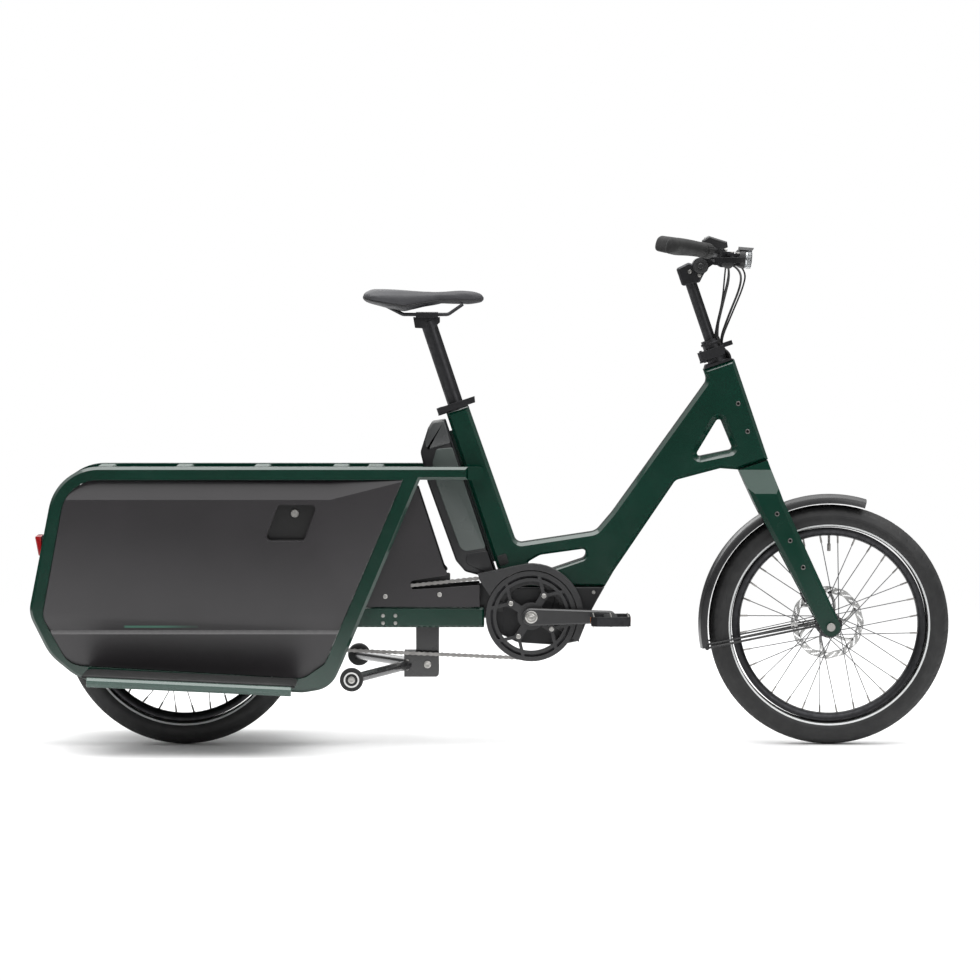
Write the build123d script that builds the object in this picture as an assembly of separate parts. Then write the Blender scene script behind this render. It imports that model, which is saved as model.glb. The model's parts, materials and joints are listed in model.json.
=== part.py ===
"""Longtail cargo bicycle with a mid motor, 20-inch wheels, a rear deck and side panels.

Millimetres. +X points forwards, +Y to the rider's left, +Z up. The origin is on the ground,
midway between the two ends. The drive side, with the chain, is at negative Y.
"""

import os
from math import cos, hypot, pi, radians, sin, tan

from build123d import *

# ---------------------------------------------------------------- driving dimensions
wheel_r = 262.0  # outside radius of a 60-406 tyre
tyre_width = 60.0
rim_r = 211.0  # top of the rim's bead flange
rear_centre = 756.6  # rear axle to crank axis, along X
front_centre = 650.3  # crank axis to front axle, along X
bb_rise = 22.6  # crank axis above the axles
steer_angle = 18.88  # steering axis from the vertical
crown_rise = 88.8  # bottom of the head tube above the top of the tyre
head_length = 230.0
head_width = 70.0
fork_rake = 45.5
frame_width = 62.0
seat_angle = 18.5
seat_tube_width = 50.0
seat_post_r = 17.0
post_height = 208.0  # seat tube top to saddle clamp, along the post
post_depth = 200.0  # how far the post reaches into the seat tube
post_drop = 150.0  # how far the post can be lowered
deck_rise = 57.0  # underside of the deck rails above the top of the tyre
rail_size = 28.0
rail_wall = 3.0
rail_gap = 122.0  # between the two deck rails
hoop_rear = 332.7  # rear axle to the rearmost point of the hoops
panel_depth = 18.0  # how far the side panel is moulded out
panel_skin = 3.0
board_reach = 262.0  # outer edge of a footboard from the mid-plane
crank_length = 170.0
chain_pitch = 12.7
ring_teeth = 46
cog_teeth = 18
chain_line = 50.0
guard_r = 98.5
front_hub_width = 100.0
rear_hub_width = 135.0
rotor_r = 80.0
spoke_r = 0.9
spokes = 32
column_r = 12.5
column_foot = 110.0  # foot of the stem column above the head tube's foot
bar_drop = 80.0  # how far the stem column can be lowered
steerer_r = 14.3
bar_r = 11.1
bar_clamp_r = 15.9
grip_r = 16.0
stand_reach = 280.0  # centre of a stand foot from the mid-plane
stand_foot_r = 25.0

# ---------------------------------------------------------------- clearances
run_fit = 0.05  # radial gap of a shaft in its bearing or bush
gap = 0.4  # between pieces that move past each other
seam = 1.0  # between covers and the frame round them

# ---------------------------------------------------------------- derived places
axle_z = wheel_r
wheelbase = rear_centre + front_centre
rear_x = -(wheelbase + wheel_r - hoop_rear) / 2
bb_x = rear_x + rear_centre
bb_z = axle_z + bb_rise
front_x = rear_x + wheelbase
ring_r = chain_pitch / 2 / sin(pi / ring_teeth)
cog_r = chain_pitch / 2 / sin(pi / cog_teeth)
half = frame_width / 2
up_x, up_z = -sin(radians(steer_angle)), cos(radians(steer_angle))
head_z = axle_z + wheel_r + crown_rise
head_x = front_x - (fork_rake + (axle_z - head_z) * up_x) / up_z
deck_z = 2 * wheel_r + deck_rise + 1.5
rail_in = rail_gap / 2
rail_out = rail_in + rail_size
down_x, down_z = sin(radians(seat_angle)), -cos(radians(seat_angle))
seat_top = (bb_x - 160.6, bb_z + 447.4)
crease_x = rear_x + 321.0  # where the panel's top bevel starts to run out


def rear(x, z):
    """A point given from the rear axle."""
    return rear_x + x, axle_z + z


def bracket(x, z):
    """A point given from the crank axis."""
    return bb_x + x, bb_z + z


def head(along, forward):
    """A point given along the steering axis from the head tube's foot, and forward of it."""
    return head_x + along * up_x + forward * up_z, head_z + along * up_z - forward * up_x


def seat(along, forward):
    """A point given down the seat tube from its top, and forward of its axis."""
    return (
        seat_top[0] + along * down_x - forward * down_z,
        seat_top[1] + along * down_z + forward * down_x,
    )


# ---------------------------------------------------------------- shape helpers
def outline(points):
    """Closed face in the X-Z plane. Each point is (x, z) or (x, z, corner radius)."""
    face = make_face(Polyline(*[(p[0], 0, p[1]) for p in points], close=True))
    for radius in sorted({p[2] for p in points if len(p) > 2}):
        corners = [Vector(p[0], 0, p[1]) for p in points if len(p) > 2 and p[2] == radius]
        picked = [v for v in face.vertices() if min((v.center() - c).length for c in corners) < 0.01]
        face = fillet(picked, radius)
    return face


def thicken_y(face, low, high):
    """Carries a face in the X-Z plane from y = low to y = high."""
    return Pos(0, low, 0) * extrude(face, amount=high - low, dir=(0, 1, 0))


def slab(points, low, high):
    """Flat plate with the given outline, from y = low to y = high."""
    return thicken_y(outline(points), low, high)


def eased(solid, size, low=True, high=True):
    """Chamfers the edges of a plate's two flat sides."""
    rows = solid.edges().group_by(Axis.Y)
    return chamfer((rows[0] if low else []) + (rows[-1] if high else []), size)


def block(x, y, z):
    """Box from three (low, high) pairs."""
    corner = (Align.MIN, Align.MIN, Align.MIN)
    return Pos(x[0], y[0], z[0]) * Box(x[1] - x[0], y[1] - y[0], z[1] - z[0], align=corner)


def rod(start, end, radius, bore=0.0):
    """Round bar between two points, with an optional bore."""
    a, b = Vector(*start), Vector(*end)
    base = Plane(origin=a, z_dir=b - a)
    foot = (Align.CENTER, Align.CENTER, Align.MIN)
    solid = base * Cylinder(radius, (b - a).length, align=foot)
    if bore:
        solid -= base * Cylinder(bore, (b - a).length, align=foot)
    return solid


def disc(place, radius, low, high, bore=0.0):
    """Round plate or ring whose axis runs along Y through place (x, z)."""
    return rod((place[0], low, place[1]), (place[0], high, place[1]), radius, bore)


def tilted(place, y=0.0):
    """A point in the X-Z plane, as a point in space."""
    return place[0], y, place[1]


def other_side(solid):
    """The same solid on the left of the mid-plane."""
    return mirror(solid, about=Plane.XZ)


def group(*shapes):
    """Several separate solids as one node."""
    return Compound([solid for shape in shapes for solid in shape.solids()])


def pair(solid):
    """A piece and its mirror image, as one node."""
    return group(solid, other_side(solid))


def ring_profile(points, place):
    """Ring made by turning (radius, y) points about the Y axis through place."""
    face = make_face(Polyline(*[(r, y, 0) for r, y in points], close=True))
    return Pos(place[0], 0, place[1]) * revolve(face, Axis.Y, 360)


# ---------------------------------------------------------------- main frame
def main_frame():
    """Welded step-through frame: head tube, down tube, strut, step beam and seat tube."""
    wide = seat_tube_width / 2
    outside = [
        head(head_length, -head_width / 2),
        head(head_length - 25, -head_width / 2) + (20,),
        bracket(176.4, 222.9) + (60,),
        bracket(141.4, 181.4) + (30,),
        seat(318, wide + 5) + (16,),
        seat(0, wide),
        seat(0, -wide),
        seat(398, -wide - 2),
        bracket(160.4, 61.8),
        bracket(180.4, 96.4),
        head(22, -170) + (18,),
        head(15, -70),
        head(0, -head_width / 2),
        head(0, head_width / 2),
        head(head_length, head_width / 2),
    ]
    solid = eased(slab(outside, -half, half), 7)
    truss = [head(124, -35) + (7,), head(44, -30) + (7,), head(55, -117) + (7,)]
    solid -= flared(truss, 12)
    slot = [
        bracket(-10, 114) + (8,),
        bracket(19.4, 131) + (30,),
        bracket(120, 145) + (8,),
        bracket(118, 124) + (12,),
        bracket(45.4, 99.4),
        bracket(0, 99),
    ]
    solid -= flared(slot, 5)
    hollow = [head(190, -34), head(60, -133), bracket(205, 142), bracket(185, 180), bracket(200, 214)]
    solid -= slab(hollow, 6 - half, half - 6)
    solid += yoke() + battery_mount() + rail_brackets()
    foot, top = tilted(head(-1, 0)), tilted(head(head_length + 1, 0))
    solid -= rod(foot, top, 22.0)
    solid -= rod(tilted(seat(-1, 0)), tilted(seat(post_depth + post_drop + 5, 0)), seat_post_r + run_fit)
    for along in (72, 136):
        place = head(along, 12)
        solid -= disc(place, 2.5, -half - 1, -24)
    return solid


def flared(points, wide):
    """A hole through the frame whose two mouths open out at 45 degrees."""
    face = outline(points)
    hole = thicken_y(face, -half, half)
    for side in (-1, 1):
        throat = Pos(0, side * (half - wide), 0) * face
        hole += loft([throat, Pos(0, side * half, 0) * offset(face, wide)], ruled=True)
    return hole


def yoke():
    """Arm behind the motor that carries the rear frame."""
    points = [
        bracket(-62, 72.5),
        bracket(-93, 66),
        bracket(-124, 50),
        bracket(-132.6, 15),
        bracket(-132.6, -22.6),
        bracket(-102, -22.6),
        bracket(-102, 15),
        bracket(-90, 45),
        bracket(-59, 58),
        bracket(-40, 66),
        bracket(-40, 100),
    ]
    return slab(points, -half, half)


def bearing_rings():
    """Two headset bearings and two crank bearings."""
    rings = []
    for low in (4.0, head_length - 14):
        rings.append(rod(tilted(head(low, 0)), tilted(head(low + 10, 0)), 22 - run_fit, steerer_r + run_fit))
    for low in (-33.0, 25.0):
        rings.append(disc((bb_x, bb_z), 20.0, low, low + 8, 12.0 + run_fit))
    return group(*rings)


# ---------------------------------------------------------------- rear frame
def rear_frame():
    """Two lower rails, three cross tubes, the stays and the dropouts, welded together."""
    low, high = axle_z - 2, axle_z + 41
    front, back = bb_x - 102.6, rear_x + 228
    rail = eased(slab([(back, low), (front, low), (front, high), (back, high)], 38, 59), 4)
    step = block((back, back + 40), (38, 73), (low, high))
    stay = [rear(-30, -22) + (18,), rear(228, -2), rear(228, 41), rear(-30, 24) + (18,)]
    solid = rail + step + slab(stay, 67.5, 73)
    solid += slab([rear(60, -12), rear(228, -2), rear(228, 41), rear(60, 31)], 62, 67.5)
    solid += block((rear_x + 355, rear_x + 390), (59, rail_in), (low + 2, high - 3))
    solid -= disc((rear_x, axle_z), 6 + run_fit, 60, 80)
    solid += other_side(solid)
    solid += block((rear_x + 25, rear_x + 50), (rear_hub_width / 2 - 3, 71), (axle_z + 20, axle_z + 84))
    for x in (bb_x - 162.6, bb_x - 251):
        solid += block((x, x + 30 if x > bb_x - 200 else x + 52), (-38, 38), (low + 2, high - 3))
    return solid


def rail_brackets():
    """Stubs from the seat tube out to the ends of the deck rails."""
    seat_along = (seat_top[1] - deck_z - rail_size / 2) / -down_z
    x, z = seat(seat_along, 0)
    stub = disc((x, z), 12, half, rail_in + 2)
    end = [
        (x - 22, deck_z),
        (x + 12, deck_z, 11),
        (x + 12, deck_z + rail_size, 11),
        (x - 22, deck_z + rail_size),
    ]
    return pair(stub + slab(end, rail_in + 2, rail_out - 2))


def hoop_outside():
    """Outer outline of a hoop, from the deck rail round the back to the front leg."""
    top = deck_z + rail_size - axle_z
    return [
        rear(-270, top) + (110,),
        rear(-hoop_rear, 31) + (60,),
        rear(-288, -59.5) + (110,),
        rear(-219, -116) + (110,),
        rear(262, -142) + (60,),
        rear(322, -132) + (60,),
        rear(347, -77),
    ]


def hoop_inside():
    """Inner outline of a hoop."""
    under = deck_z - axle_z
    return [
        rear(-248, under) + (80,),
        rear(-303, 23) + (40,),
        rear(-249, -77) + (50,),
        rear(-219, -84),
        rear(262, -112) + (40,),
        rear(310, -79) + (30,),
        rear(479, under),
    ]


def hoops():
    """Closed tube hoops with the deck rails, one each side."""
    seat_along = (seat_top[1] - deck_z - rail_size / 2) / -down_z
    rail_end = seat(seat_along, 0)[0] - 22
    leg_top = rear(515.5, deck_z - axle_z)
    outside = hoop_outside() + [leg_top, (rail_end, deck_z), (rail_end, deck_z + rail_size)]
    outer = outline(outside)
    inner = outline(hoop_inside())
    solid = eased(thicken_y(outer, rail_in, rail_out), 6, low=False)
    solid -= thicken_y(inner, rail_in, rail_out)
    hollow = thicken_y(offset(outer, -rail_wall) - offset(inner, rail_wall), rail_in + rail_wall, rail_out - 6)
    return pair(solid - hollow)


def cross_bars():
    """Five cross bars flush with the deck rails, and the bar behind the wheel for the lamp."""
    top = deck_z + rail_size - 1
    bars = []
    for place in (-170, 0, 170, 342, 418):
        bar = block((rear_x + place - 18, rear_x + place + 18), (-rail_in, rail_in), (top - 20, top))
        bars.append(chamfer(bar.edges().filter_by(Axis.Y), 3))
    lamp_bar = block((rear_x - 300, rear_x - 278), (-rail_in, rail_in), (axle_z + 162, axle_z + 184))
    return group(lamp_bar, *bars)


def rear_light():
    """Red lamp with a sloped lens."""
    points = [
        rear(-300, 150),
        rear(-300, 196),
        rear(-326, 196) + (4,),
        rear(-318, 150) + (4,),
    ]
    return slab(points, -26, 26)


# ---------------------------------------------------------------- panels
def panel_cuts(outer):
    """What is cut off a panel's face: a bevel along the top, which runs out at the front, and a ledge."""
    bevel_foot = deck_z - 43
    slope = panel_depth / 43
    tall = 70
    profile = [
        (crease_x, outer, bevel_foot),
        (crease_x, outer + 1, bevel_foot),
        (crease_x, outer + 1, bevel_foot + tall),
        (crease_x, outer - slope * tall, bevel_foot + tall),
    ]
    bevel = make_face(Polyline(*profile, close=True))
    cuts = extrude(bevel, amount=700, dir=(-1, 0, 0)) + extrude(bevel, amount=300, dir=(147, 0, 37))
    foot = [
        (outer, axle_z + 34.5),
        (outer - 9, axle_z - 5.5),
        (outer - 0.5, axle_z - 14),
        (outer - 13, axle_z - 90),
        (outer - 13, axle_z - 160),
        (outer + 1, axle_z - 160),
        (outer + 1, axle_z + 34.5),
    ]
    ledge = make_face(Polyline(*[(rear_x - 400, y, z) for y, z in foot], close=True))
    return cuts + extrude(ledge, amount=1000, dir=(1, 0, 0))


def side_panel():
    """Moulded panel in a hoop, hollow behind, with a pull recess and its lock."""
    face = offset(outline(hoop_inside()), -seam)
    inner = rail_out - panel_depth + 3
    outer = inner + panel_depth
    cuts = panel_cuts(outer)
    solid = thicken_y(face, inner, outer) - cuts
    hollow = thicken_y(offset(face, -panel_skin), inner - 1, outer - panel_skin)
    solid -= hollow - Pos(0, -panel_skin, -1) * cuts
    hole = handle_outline(0)
    solid -= thicken_y(hole, inner - 1, outer)
    cup = thicken_y(hole, outer - 24, outer - 0.5)
    cup -= thicken_y(handle_outline(-2.5), outer - 21.5, outer)
    lock_x, lock_z = lock_place()
    cup -= disc((lock_x, lock_z), 9 + run_fit, outer - 30, outer)
    return solid + cup


def handle_outline(grow):
    """Outline of the pull recess in a side panel."""
    points = [rear(207, 269), rear(297, 269), rear(267, 187), rear(176.5, 187)]
    face = outline([p + (12,) for p in points])
    return offset(face, grow) if grow else face


def lock_place():
    """Centre of the panel lock, in the upper part of the recess."""
    return rear(244.5, 247)


def panel_lock():
    """Key lock barrel in the recess, with a cam tongue behind the panel."""
    outer = rail_out + 3
    barrel = disc(lock_place(), 9, outer - 27, outer - 14)
    x, z = lock_place()
    tongue = block((x - 6, x + 6), (outer - 29.5, outer - 27), (z - 6, z + 30))
    return barrel + tongue


def skirt():
    """Flat cover between a hoop leg and the frame, with a slot for the chain."""
    points = [
        rear(509, deck_z - axle_z - 15) + (3,),
        bracket(-189, 103.4) + (14,),
        bracket(-176.6, 90) + (6,),
        bracket(-262, 77) + (7,),
        bracket(-262, 58) + (7,),
        bracket(-190, 62),
        bracket(-112, 68) + (3,),
        (bb_x - 112, axle_z + 43),
        rear(396, 43),
    ]
    return slab(points, rail_in - 3.2, rail_in - 0.2)


# ---------------------------------------------------------------- footboards
def board_top(x):
    """Height of a footboard's top surface at x, measured from the rear axle."""
    return axle_z - 87 - (x + 212) * 22 / 470


def footboard_frame():
    """Outer tube and three cross tubes that carry a footboard."""
    front, back = 243.0, -193.0
    ends = [(rear_x + x, board_top(x)) for x in (back, front)]
    (bx, bz), (fx, fz) = ends
    tube = slab([(bx, bz - 24), (fx, fz - 24), (fx, fz - 4), (bx, bz - 4)], board_reach - 22, board_reach)
    solid = chamfer(tube.edges().filter_by(Axis.Z, reverse=True).group_by(Axis.Y)[-1], 6)
    for x in (back + 12, (back + front) / 2, front - 12):
        z = board_top(x) - 15
        solid += block((rear_x + x - 9, rear_x + x + 9), (rail_out, board_reach - 20), (z - 7, z + 7))
    return solid


def footboard_tread():
    """Ribbed grip board on a footboard frame."""
    points = [(rear_x + x, board_top(x) + up) for x, up in ((-205, -7), (250, -7), (250, 0), (-205, 0))]
    return slab(points, rail_out + 7, board_reach - 24)


# ---------------------------------------------------------------- motor and battery
def motor_housing():
    """Mid motor under the frame, with the crank axis through it."""
    points = [
        bracket(-59, 57),
        bracket(-38, 61),
        bracket(160, 61),
        bracket(130.4, 9.4),
        bracket(104, -57) + (10,),
        bracket(60, -66) + (20,),
        bracket(-30, -60) + (30,),
        bracket(-80, -35) + (20,),
        bracket(-98, 0) + (20,),
        bracket(-86, 42) + (8,),
    ]
    solid = eased(slab(points, -34, 34), 3)
    return solid - disc((bb_x, bb_z), 20 + run_fit, -35, 35)


def motor_cover():
    """Thin trim over the motor's drive side."""
    points = [
        bracket(56, 60.5),
        bracket(158, 60.5),
        bracket(130, 8),
        bracket(103, -56) + (8,),
        bracket(60, -62) + (12,),
        bracket(40, -20),
    ]
    return slab(points, -37, -34)


def shroud_edge():
    """Chain cover outline: an arc over the ring, a tip in front and a tail behind."""
    reach = guard_r + 15.5
    arc = [bracket(reach * cos(a), reach * sin(a)) for a in (radians(d) for d in range(-24, 97, 8))]
    return [bracket(104, -56)] + arc + [bracket(-116, 92), bracket(-112, 78), bracket(-89.6, 44)]


def chain_shroud():
    """Chain cover: an outer wall, a roof over the chain and a web to the motor."""
    edge = outline(shroud_edge() + [bracket(0, 0)])
    inner = offset(edge, -2.5)
    well = guard_r + 2
    body = thicken_y(edge, -chain_line - 14, -37)
    body -= thicken_y(inner, -chain_line - 11.5, -40)
    body -= disc((bb_x, bb_z), well, -chain_line - 15, -40)
    body -= disc((bb_x, bb_z), 66, -41, -36)
    fall = 150 * (bb_rise + ring_r - cog_r) / rear_centre
    run = [bracket(-150, 77.7 - fall), bracket(0, 78), bracket(0, 98), bracket(-150, 99.7 - fall)]
    body -= slab(run, -chain_line - 7, -chain_line + 7)
    return max(body.solids(), key=lambda piece: piece.volume)


def battery_case():
    """Battery on the back of the seat tube."""
    points = [
        seat(12, -31),
        seat(7, -60) + (10,),
        seat(19, -75) + (10,),
        seat(62, -106) + (20,),
        seat(130, -112) + (30,),
        seat(311, -108) + (20,),
        seat(340, -96) + (14,),
        seat(362, -62),
        seat(368, -31),
    ]
    return eased(slab(points, -36.5, 36.5), 7)


def battery_mount():
    """Mounting rail between the battery and the seat tube."""
    wide = seat_tube_width / 2
    points = [seat(40, 1 - wide), seat(340, 1 - wide), seat(340, -31), seat(40, -31)]
    return slab(points, -14, 14)


def rear_fender():
    """Mudguard over the rear wheel, below the deck."""
    outer = wheel_r + 23
    angles = [radians(-8 + 178 * n / 16) for n in range(17)]
    edge = [(rear_x + outer * cos(a), axle_z + outer * sin(a)) for a in angles]
    back = [(rear_x + (outer - 2.5) * cos(a), axle_z + (outer - 2.5) * sin(a)) for a in reversed(angles)]
    return slab(edge + back, -36, 36)


# ---------------------------------------------------------------- wheels
def tyre(place):
    """Hollow tyre with its beads in the rim."""
    w = tyre_width / 2
    mid = wheel_r - w
    outside = [(mid + w * cos(a), w * sin(a)) for a in (radians(d) for d in range(-120, 121, 12))]
    wall = w - 4
    inside = [(mid + wall * cos(a), wall * sin(a)) for a in (radians(d) for d in range(124, -125, -12))]
    outer_bead = [(rim_r + 1, 13), (rim_r - 8, 13)]
    inner_bead = [(rim_r - 8, 9.5), (rim_r - 1, 9.5)]
    first = outer_bead + inner_bead
    last = [(r, -y) for r, y in reversed(first)]
    return ring_profile(outside + first + inside + last, place)


def rim(place):
    """Double-walled rim with a valve hole."""
    bed, foot, edge = rim_r - 9, rim_r - 15, 13 + gap
    outside = [(rim_r, edge), (rim_r, edge + 2), (foot, edge - 1), (foot - 3, 0)]
    outside += [(foot, 1 - edge), (rim_r, -edge - 2), (rim_r, -edge), (bed, -edge), (bed, edge)]
    solid = ring_profile(outside, place)
    hollow = [(bed - 2, 10), (foot, 10), (foot, -10), (bed - 2, -10)]
    return solid - ring_profile(hollow, place)


def wheel_spokes(place, hub_flange, flange_y):
    """Crossed spokes from the hub flanges to the rim bed, without touching one another."""
    per_side = spokes // 2
    found = []
    for side in (-1, 1):
        for number in range(per_side):
            turn = 360 / per_side * (number + (0.25 if side > 0 else -0.25))
            lean = 1 if number % 2 else -1
            start = radians(turn + lean * 52)
            end = radians(turn)
            a = (
                place[0] + hub_flange * cos(start),
                side * flange_y + lean * 3.2,
                place[1] + hub_flange * sin(start),
            )
            rim_foot = rim_r - 18
            b = (place[0] + rim_foot * cos(end), side * 3.0, place[1] + rim_foot * sin(end))
            found.append(rod(a, b, spoke_r))
    return group(*found)


def hub(place, width, flange_r, flange_y, body_r):
    """Hub shell with two flanges, turning on its axle."""
    end = width / 2 - gap
    shell = disc(place, body_r, -flange_y, flange_y)
    for side in (-1, 1):
        shell += disc(place, flange_r + 4, *sorted((side * (flange_y - 2), side * (flange_y + 2))))
        shell += disc(place, 12, *sorted((side * flange_y, side * end)))
    return shell - disc(place, 6 + run_fit, -width, width)


def rotor(place, y):
    """Brake disc on the left of a hub: a braking ring on six arms."""
    ring = disc(place, rotor_r, y - 0.9, y + 0.9, rotor_r - 15)
    arms = disc(place, 24, y - 0.9, y + 0.9, 12)
    for number in range(6):
        a = radians(60 * number)
        b = a + radians(28)
        start = (place[0] + 20 * cos(a), y, place[1] + 20 * sin(a))
        end = (place[0] + (rotor_r - 10) * cos(b), y, place[1] + (rotor_r - 10) * sin(b))
        line = Vector(*end) - Vector(*start)
        bar = Box(7, 1.8, line.length, align=(Align.CENTER, Align.CENTER, Align.MIN))
        arms += Plane(origin=start, x_dir=Vector(0, 1, 0).cross(line), z_dir=line) * bar
    return ring + arms


def axle(place, reach):
    """Through axle with a round head at each end."""
    solid = disc(place, 6, -reach, reach)
    for side in (-1, 1):
        solid += disc(place, 9, *sorted((side * reach, side * (reach + 4))))
    return solid


# ---------------------------------------------------------------- drive
def belt(grow):
    """Face round both chain wheels, grown from the pitch line."""
    circles = [
        Pos(bb_x, bb_z) * Circle(ring_r + grow).edge(),
        Pos(rear_x, axle_z) * Circle(cog_r + grow).edge(),
    ]
    return Rot(90, 0, 0) * make_hull(circles)


def drive_chain():
    """Chain as a closed channel, open inwards so that the teeth run in it."""
    outer, middle, inner = belt(4.3), belt(3.8), belt(-4.3)
    y = -chain_line
    solid = thicken_y(outer, y - 4.5, y + 4.5) - thicken_y(inner, y - 5, y + 5)
    return solid - thicken_y(middle, y - 2.6, y + 2.6)


def toothed(place, pitch, teeth, bore):
    """Chain wheel: round seats for the rollers leave the teeth between them."""
    flat = Circle(pitch + 3) - Circle(bore)
    flat -= [Pos(pitch * cos(2 * pi * n / teeth), pitch * sin(2 * pi * n / teeth)) * Circle(4) for n in range(teeth)]
    face = Rot(90, 0, 0) * flat
    return Pos(place[0], 0, place[1]) * thicken_y(face, -chain_line - 1.4, -chain_line + 1.4)


def spider():
    """Crank spindle with the ring carrier and its guard ring on forked arms."""
    y0, y1 = -chain_line - 12, -chain_line - 7.5
    place = (bb_x, bb_z)
    solid = disc(place, guard_r, y0, y1, guard_r - 10) + disc(place, 83, y0, y1, 76)
    solid += disc(place, 30, y0, y1)
    for number in range(4):
        centre = radians(58 + 90 * number)
        hub_end = bracket(26 * cos(centre), 26 * sin(centre))
        fork = bracket(52 * cos(centre), 52 * sin(centre))
        solid += bar_xz(hub_end, fork, 16, y0, y1) + disc(fork, 9, y0 - 1.5, y1)
        for lean in (-22, 22):
            a = centre + radians(lean)
            tip = bracket((guard_r - 5) * cos(a), (guard_r - 5) * sin(a))
            solid += bar_xz(fork, tip, 7, y0, y1)
            boss = bracket(80 * cos(a), 80 * sin(a))
            solid += disc(boss, 4, y1, -chain_line - 1.4)
    solid += disc(place, 20, y1, -42)
    return solid + disc(place, 12, -86, 86)


def bar_xz(start, end, width, low, high):
    """Straight flat bar between two places."""
    dx, dz = end[0] - start[0], end[1] - start[1]
    length = hypot(dx, dz)
    nx, nz = -dz / length * width / 2, dx / length * width / 2
    points = [
        (start[0] + nx, start[1] + nz),
        (end[0] + nx, end[1] + nz),
        (end[0] - nx, end[1] - nz),
        (start[0] - nx, start[1] - nz),
    ]
    return slab(points, low, high)


def crank(side, reach):
    """Crank arm with its pedal axle. side is -1 on the right and 1 on the left."""
    low, high = sorted((side * 70, side * 86))
    tip = (bb_x + reach, bb_z)
    big, small = Circle(19).edge(), Pos(reach, 0) * Circle(13).edge()
    face = Rot(90, 0, 0) * make_hull([big, small])
    arm = eased(Pos(bb_x, 0, bb_z) * thicken_y(face, low, high), 3)
    arm -= disc((bb_x, bb_z), 12 + 0.02, low - 1, high + 1)
    return arm + disc(tip, 5, *sorted((side * 80, side * 200)))


def pedal(side, reach):
    """Platform pedal with open windows each side of its axle."""
    x = bb_x + reach
    inner, outer = 106.0, 206.0
    low, high = sorted((side * inner, side * outer))
    plate = block((x - 42, x + 42), (low, high), (bb_z - 10, bb_z + 10))
    plate = chamfer(plate.edges().filter_by(Axis.Z), 12)
    for dx in (-25, 25):
        plate -= block((x + dx - 11, x + dx + 11), (low + 14, high - 14), (bb_z - 11, bb_z + 11))
    return plate - disc((x, bb_z), 5 + run_fit, *sorted((side * 90, side * (outer - 4))))


# ---------------------------------------------------------------- stand
stand_pivot = (bb_x - 225.6, axle_z - 85)


def stand_bracket():
    """Square tube under the frame with a rounded foot, and the pivot pin through it."""
    x, z = stand_pivot
    tube = block((x - 25, x + 25), (-30, 30), (z, axle_z))
    tube += disc(stand_pivot, 25, -30, 30)
    return tube + disc(stand_pivot, 6, -40, 40)


def stand_legs():
    """Yoke on the pivot with two splayed legs, folded up behind it."""
    x, z = stand_pivot
    solid = block((x - 51, x - 25 - gap), (-38, 38), (z - 27, z + 26))
    cheek = slab([(x - 30, z - 27), (x + 25, z - 27, 8), (x + 25, z + 26, 8), (x - 30, z + 26)], 30 + gap, 38)
    solid += cheek + other_side(cheek)
    foot = stand_foot()
    for side in (-1, 1):
        end = Vector(foot[0], side * (stand_reach - 8), foot[1])
        solid += rod((x - 42, side * 30, z - 1), end, 10.5)
    return solid - disc(stand_pivot, 6 + run_fit, -41, 41)


def stand_foot():
    """Centre of a stand foot with the stand folded up."""
    return stand_pivot[0] - 158.1, axle_z - 93.3


def stand_feet():
    """Round rubber feet on the ends of the legs."""
    solid = disc(stand_foot(), stand_foot_r, stand_reach - 8, stand_reach + 12)
    return pair(chamfer(solid.edges().filter_by(GeomType.CIRCLE), 2))


# ---------------------------------------------------------------- seat
def seat_clamp():
    """Collar on the seat tube's top, with ears and a pin for its lever."""
    wide = seat_tube_width / 2
    solid = rod(tilted(seat(0, 0)), tilted(seat(-14, 0)), wide, seat_post_r + 0.3)
    ears = rod(tilted(seat(0, -wide - 9), -22), tilted(seat(-2.6, -wide - 9), -22), 9)
    web = slab([seat(0, -wide - 9), seat(0, -wide + 6), seat(-12, -wide + 6), seat(-12, -wide - 9)], -18, 18)
    pin = rod(tilted(seat(-1, -wide - 9), -22), tilted(seat(-17, -wide - 9), -22), 3)
    web -= rod(tilted(seat(-3, -wide - 9), -22), tilted(seat(-18, -wide - 9), -22), 9.5)
    return solid + ears + (web - rod(tilted(seat(1, 0)), tilted(seat(-15, 0)), seat_post_r + 0.3)) + pin


def seat_lever():
    """Quick-release lever lying along the collar's right side."""
    wide = seat_tube_width / 2
    back = -wide - 9
    boss = rod(tilted(seat(-3, back), -22), tilted(seat(-16.5, back), -22), 8.5)
    arm = slab([seat(-3, back), seat(-3, 42), seat(-16.5, 45), seat(-16.5, back)], -34, -wide - 2)
    return boss + arm - rod(tilted(seat(-2, back), -22), tilted(seat(-18, back), -22), 3 + run_fit)


def seat_post():
    """Post that slides in the seat tube, with its clamp head."""
    head_at = seat(-post_height, 0)
    solid = rod(tilted(seat(post_depth, 0)), tilted(seat(-post_height + 6, 0)), seat_post_r, 14.5)
    x, z = head_at
    solid += slab([(x - 26, z - 20), (x + 14, z - 22), (x + 28, z - 8), (x + 28, z + 3), (x - 30, z + 3)], -15, 15)
    clamp = block((x - 24, x + 24), (-30, 30), (z + 3, z + 14))
    return solid + clamp


def saddle_rails():
    """Two steel rails under the saddle."""
    x, z = seat(-post_height, 0)
    points = [
        (x + 78, 12, z + 31),
        (x + 46, 20, z + 9),
        (x - 52, 20, z + 9),
        (x - 96, 34, z + 32),
    ]
    path = FilletPolyline(*points, radius=14)
    tube = sweep(Plane(origin=path @ 0, z_dir=path % 0) * Circle(3.5), path=path)
    return pair(tube)


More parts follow.
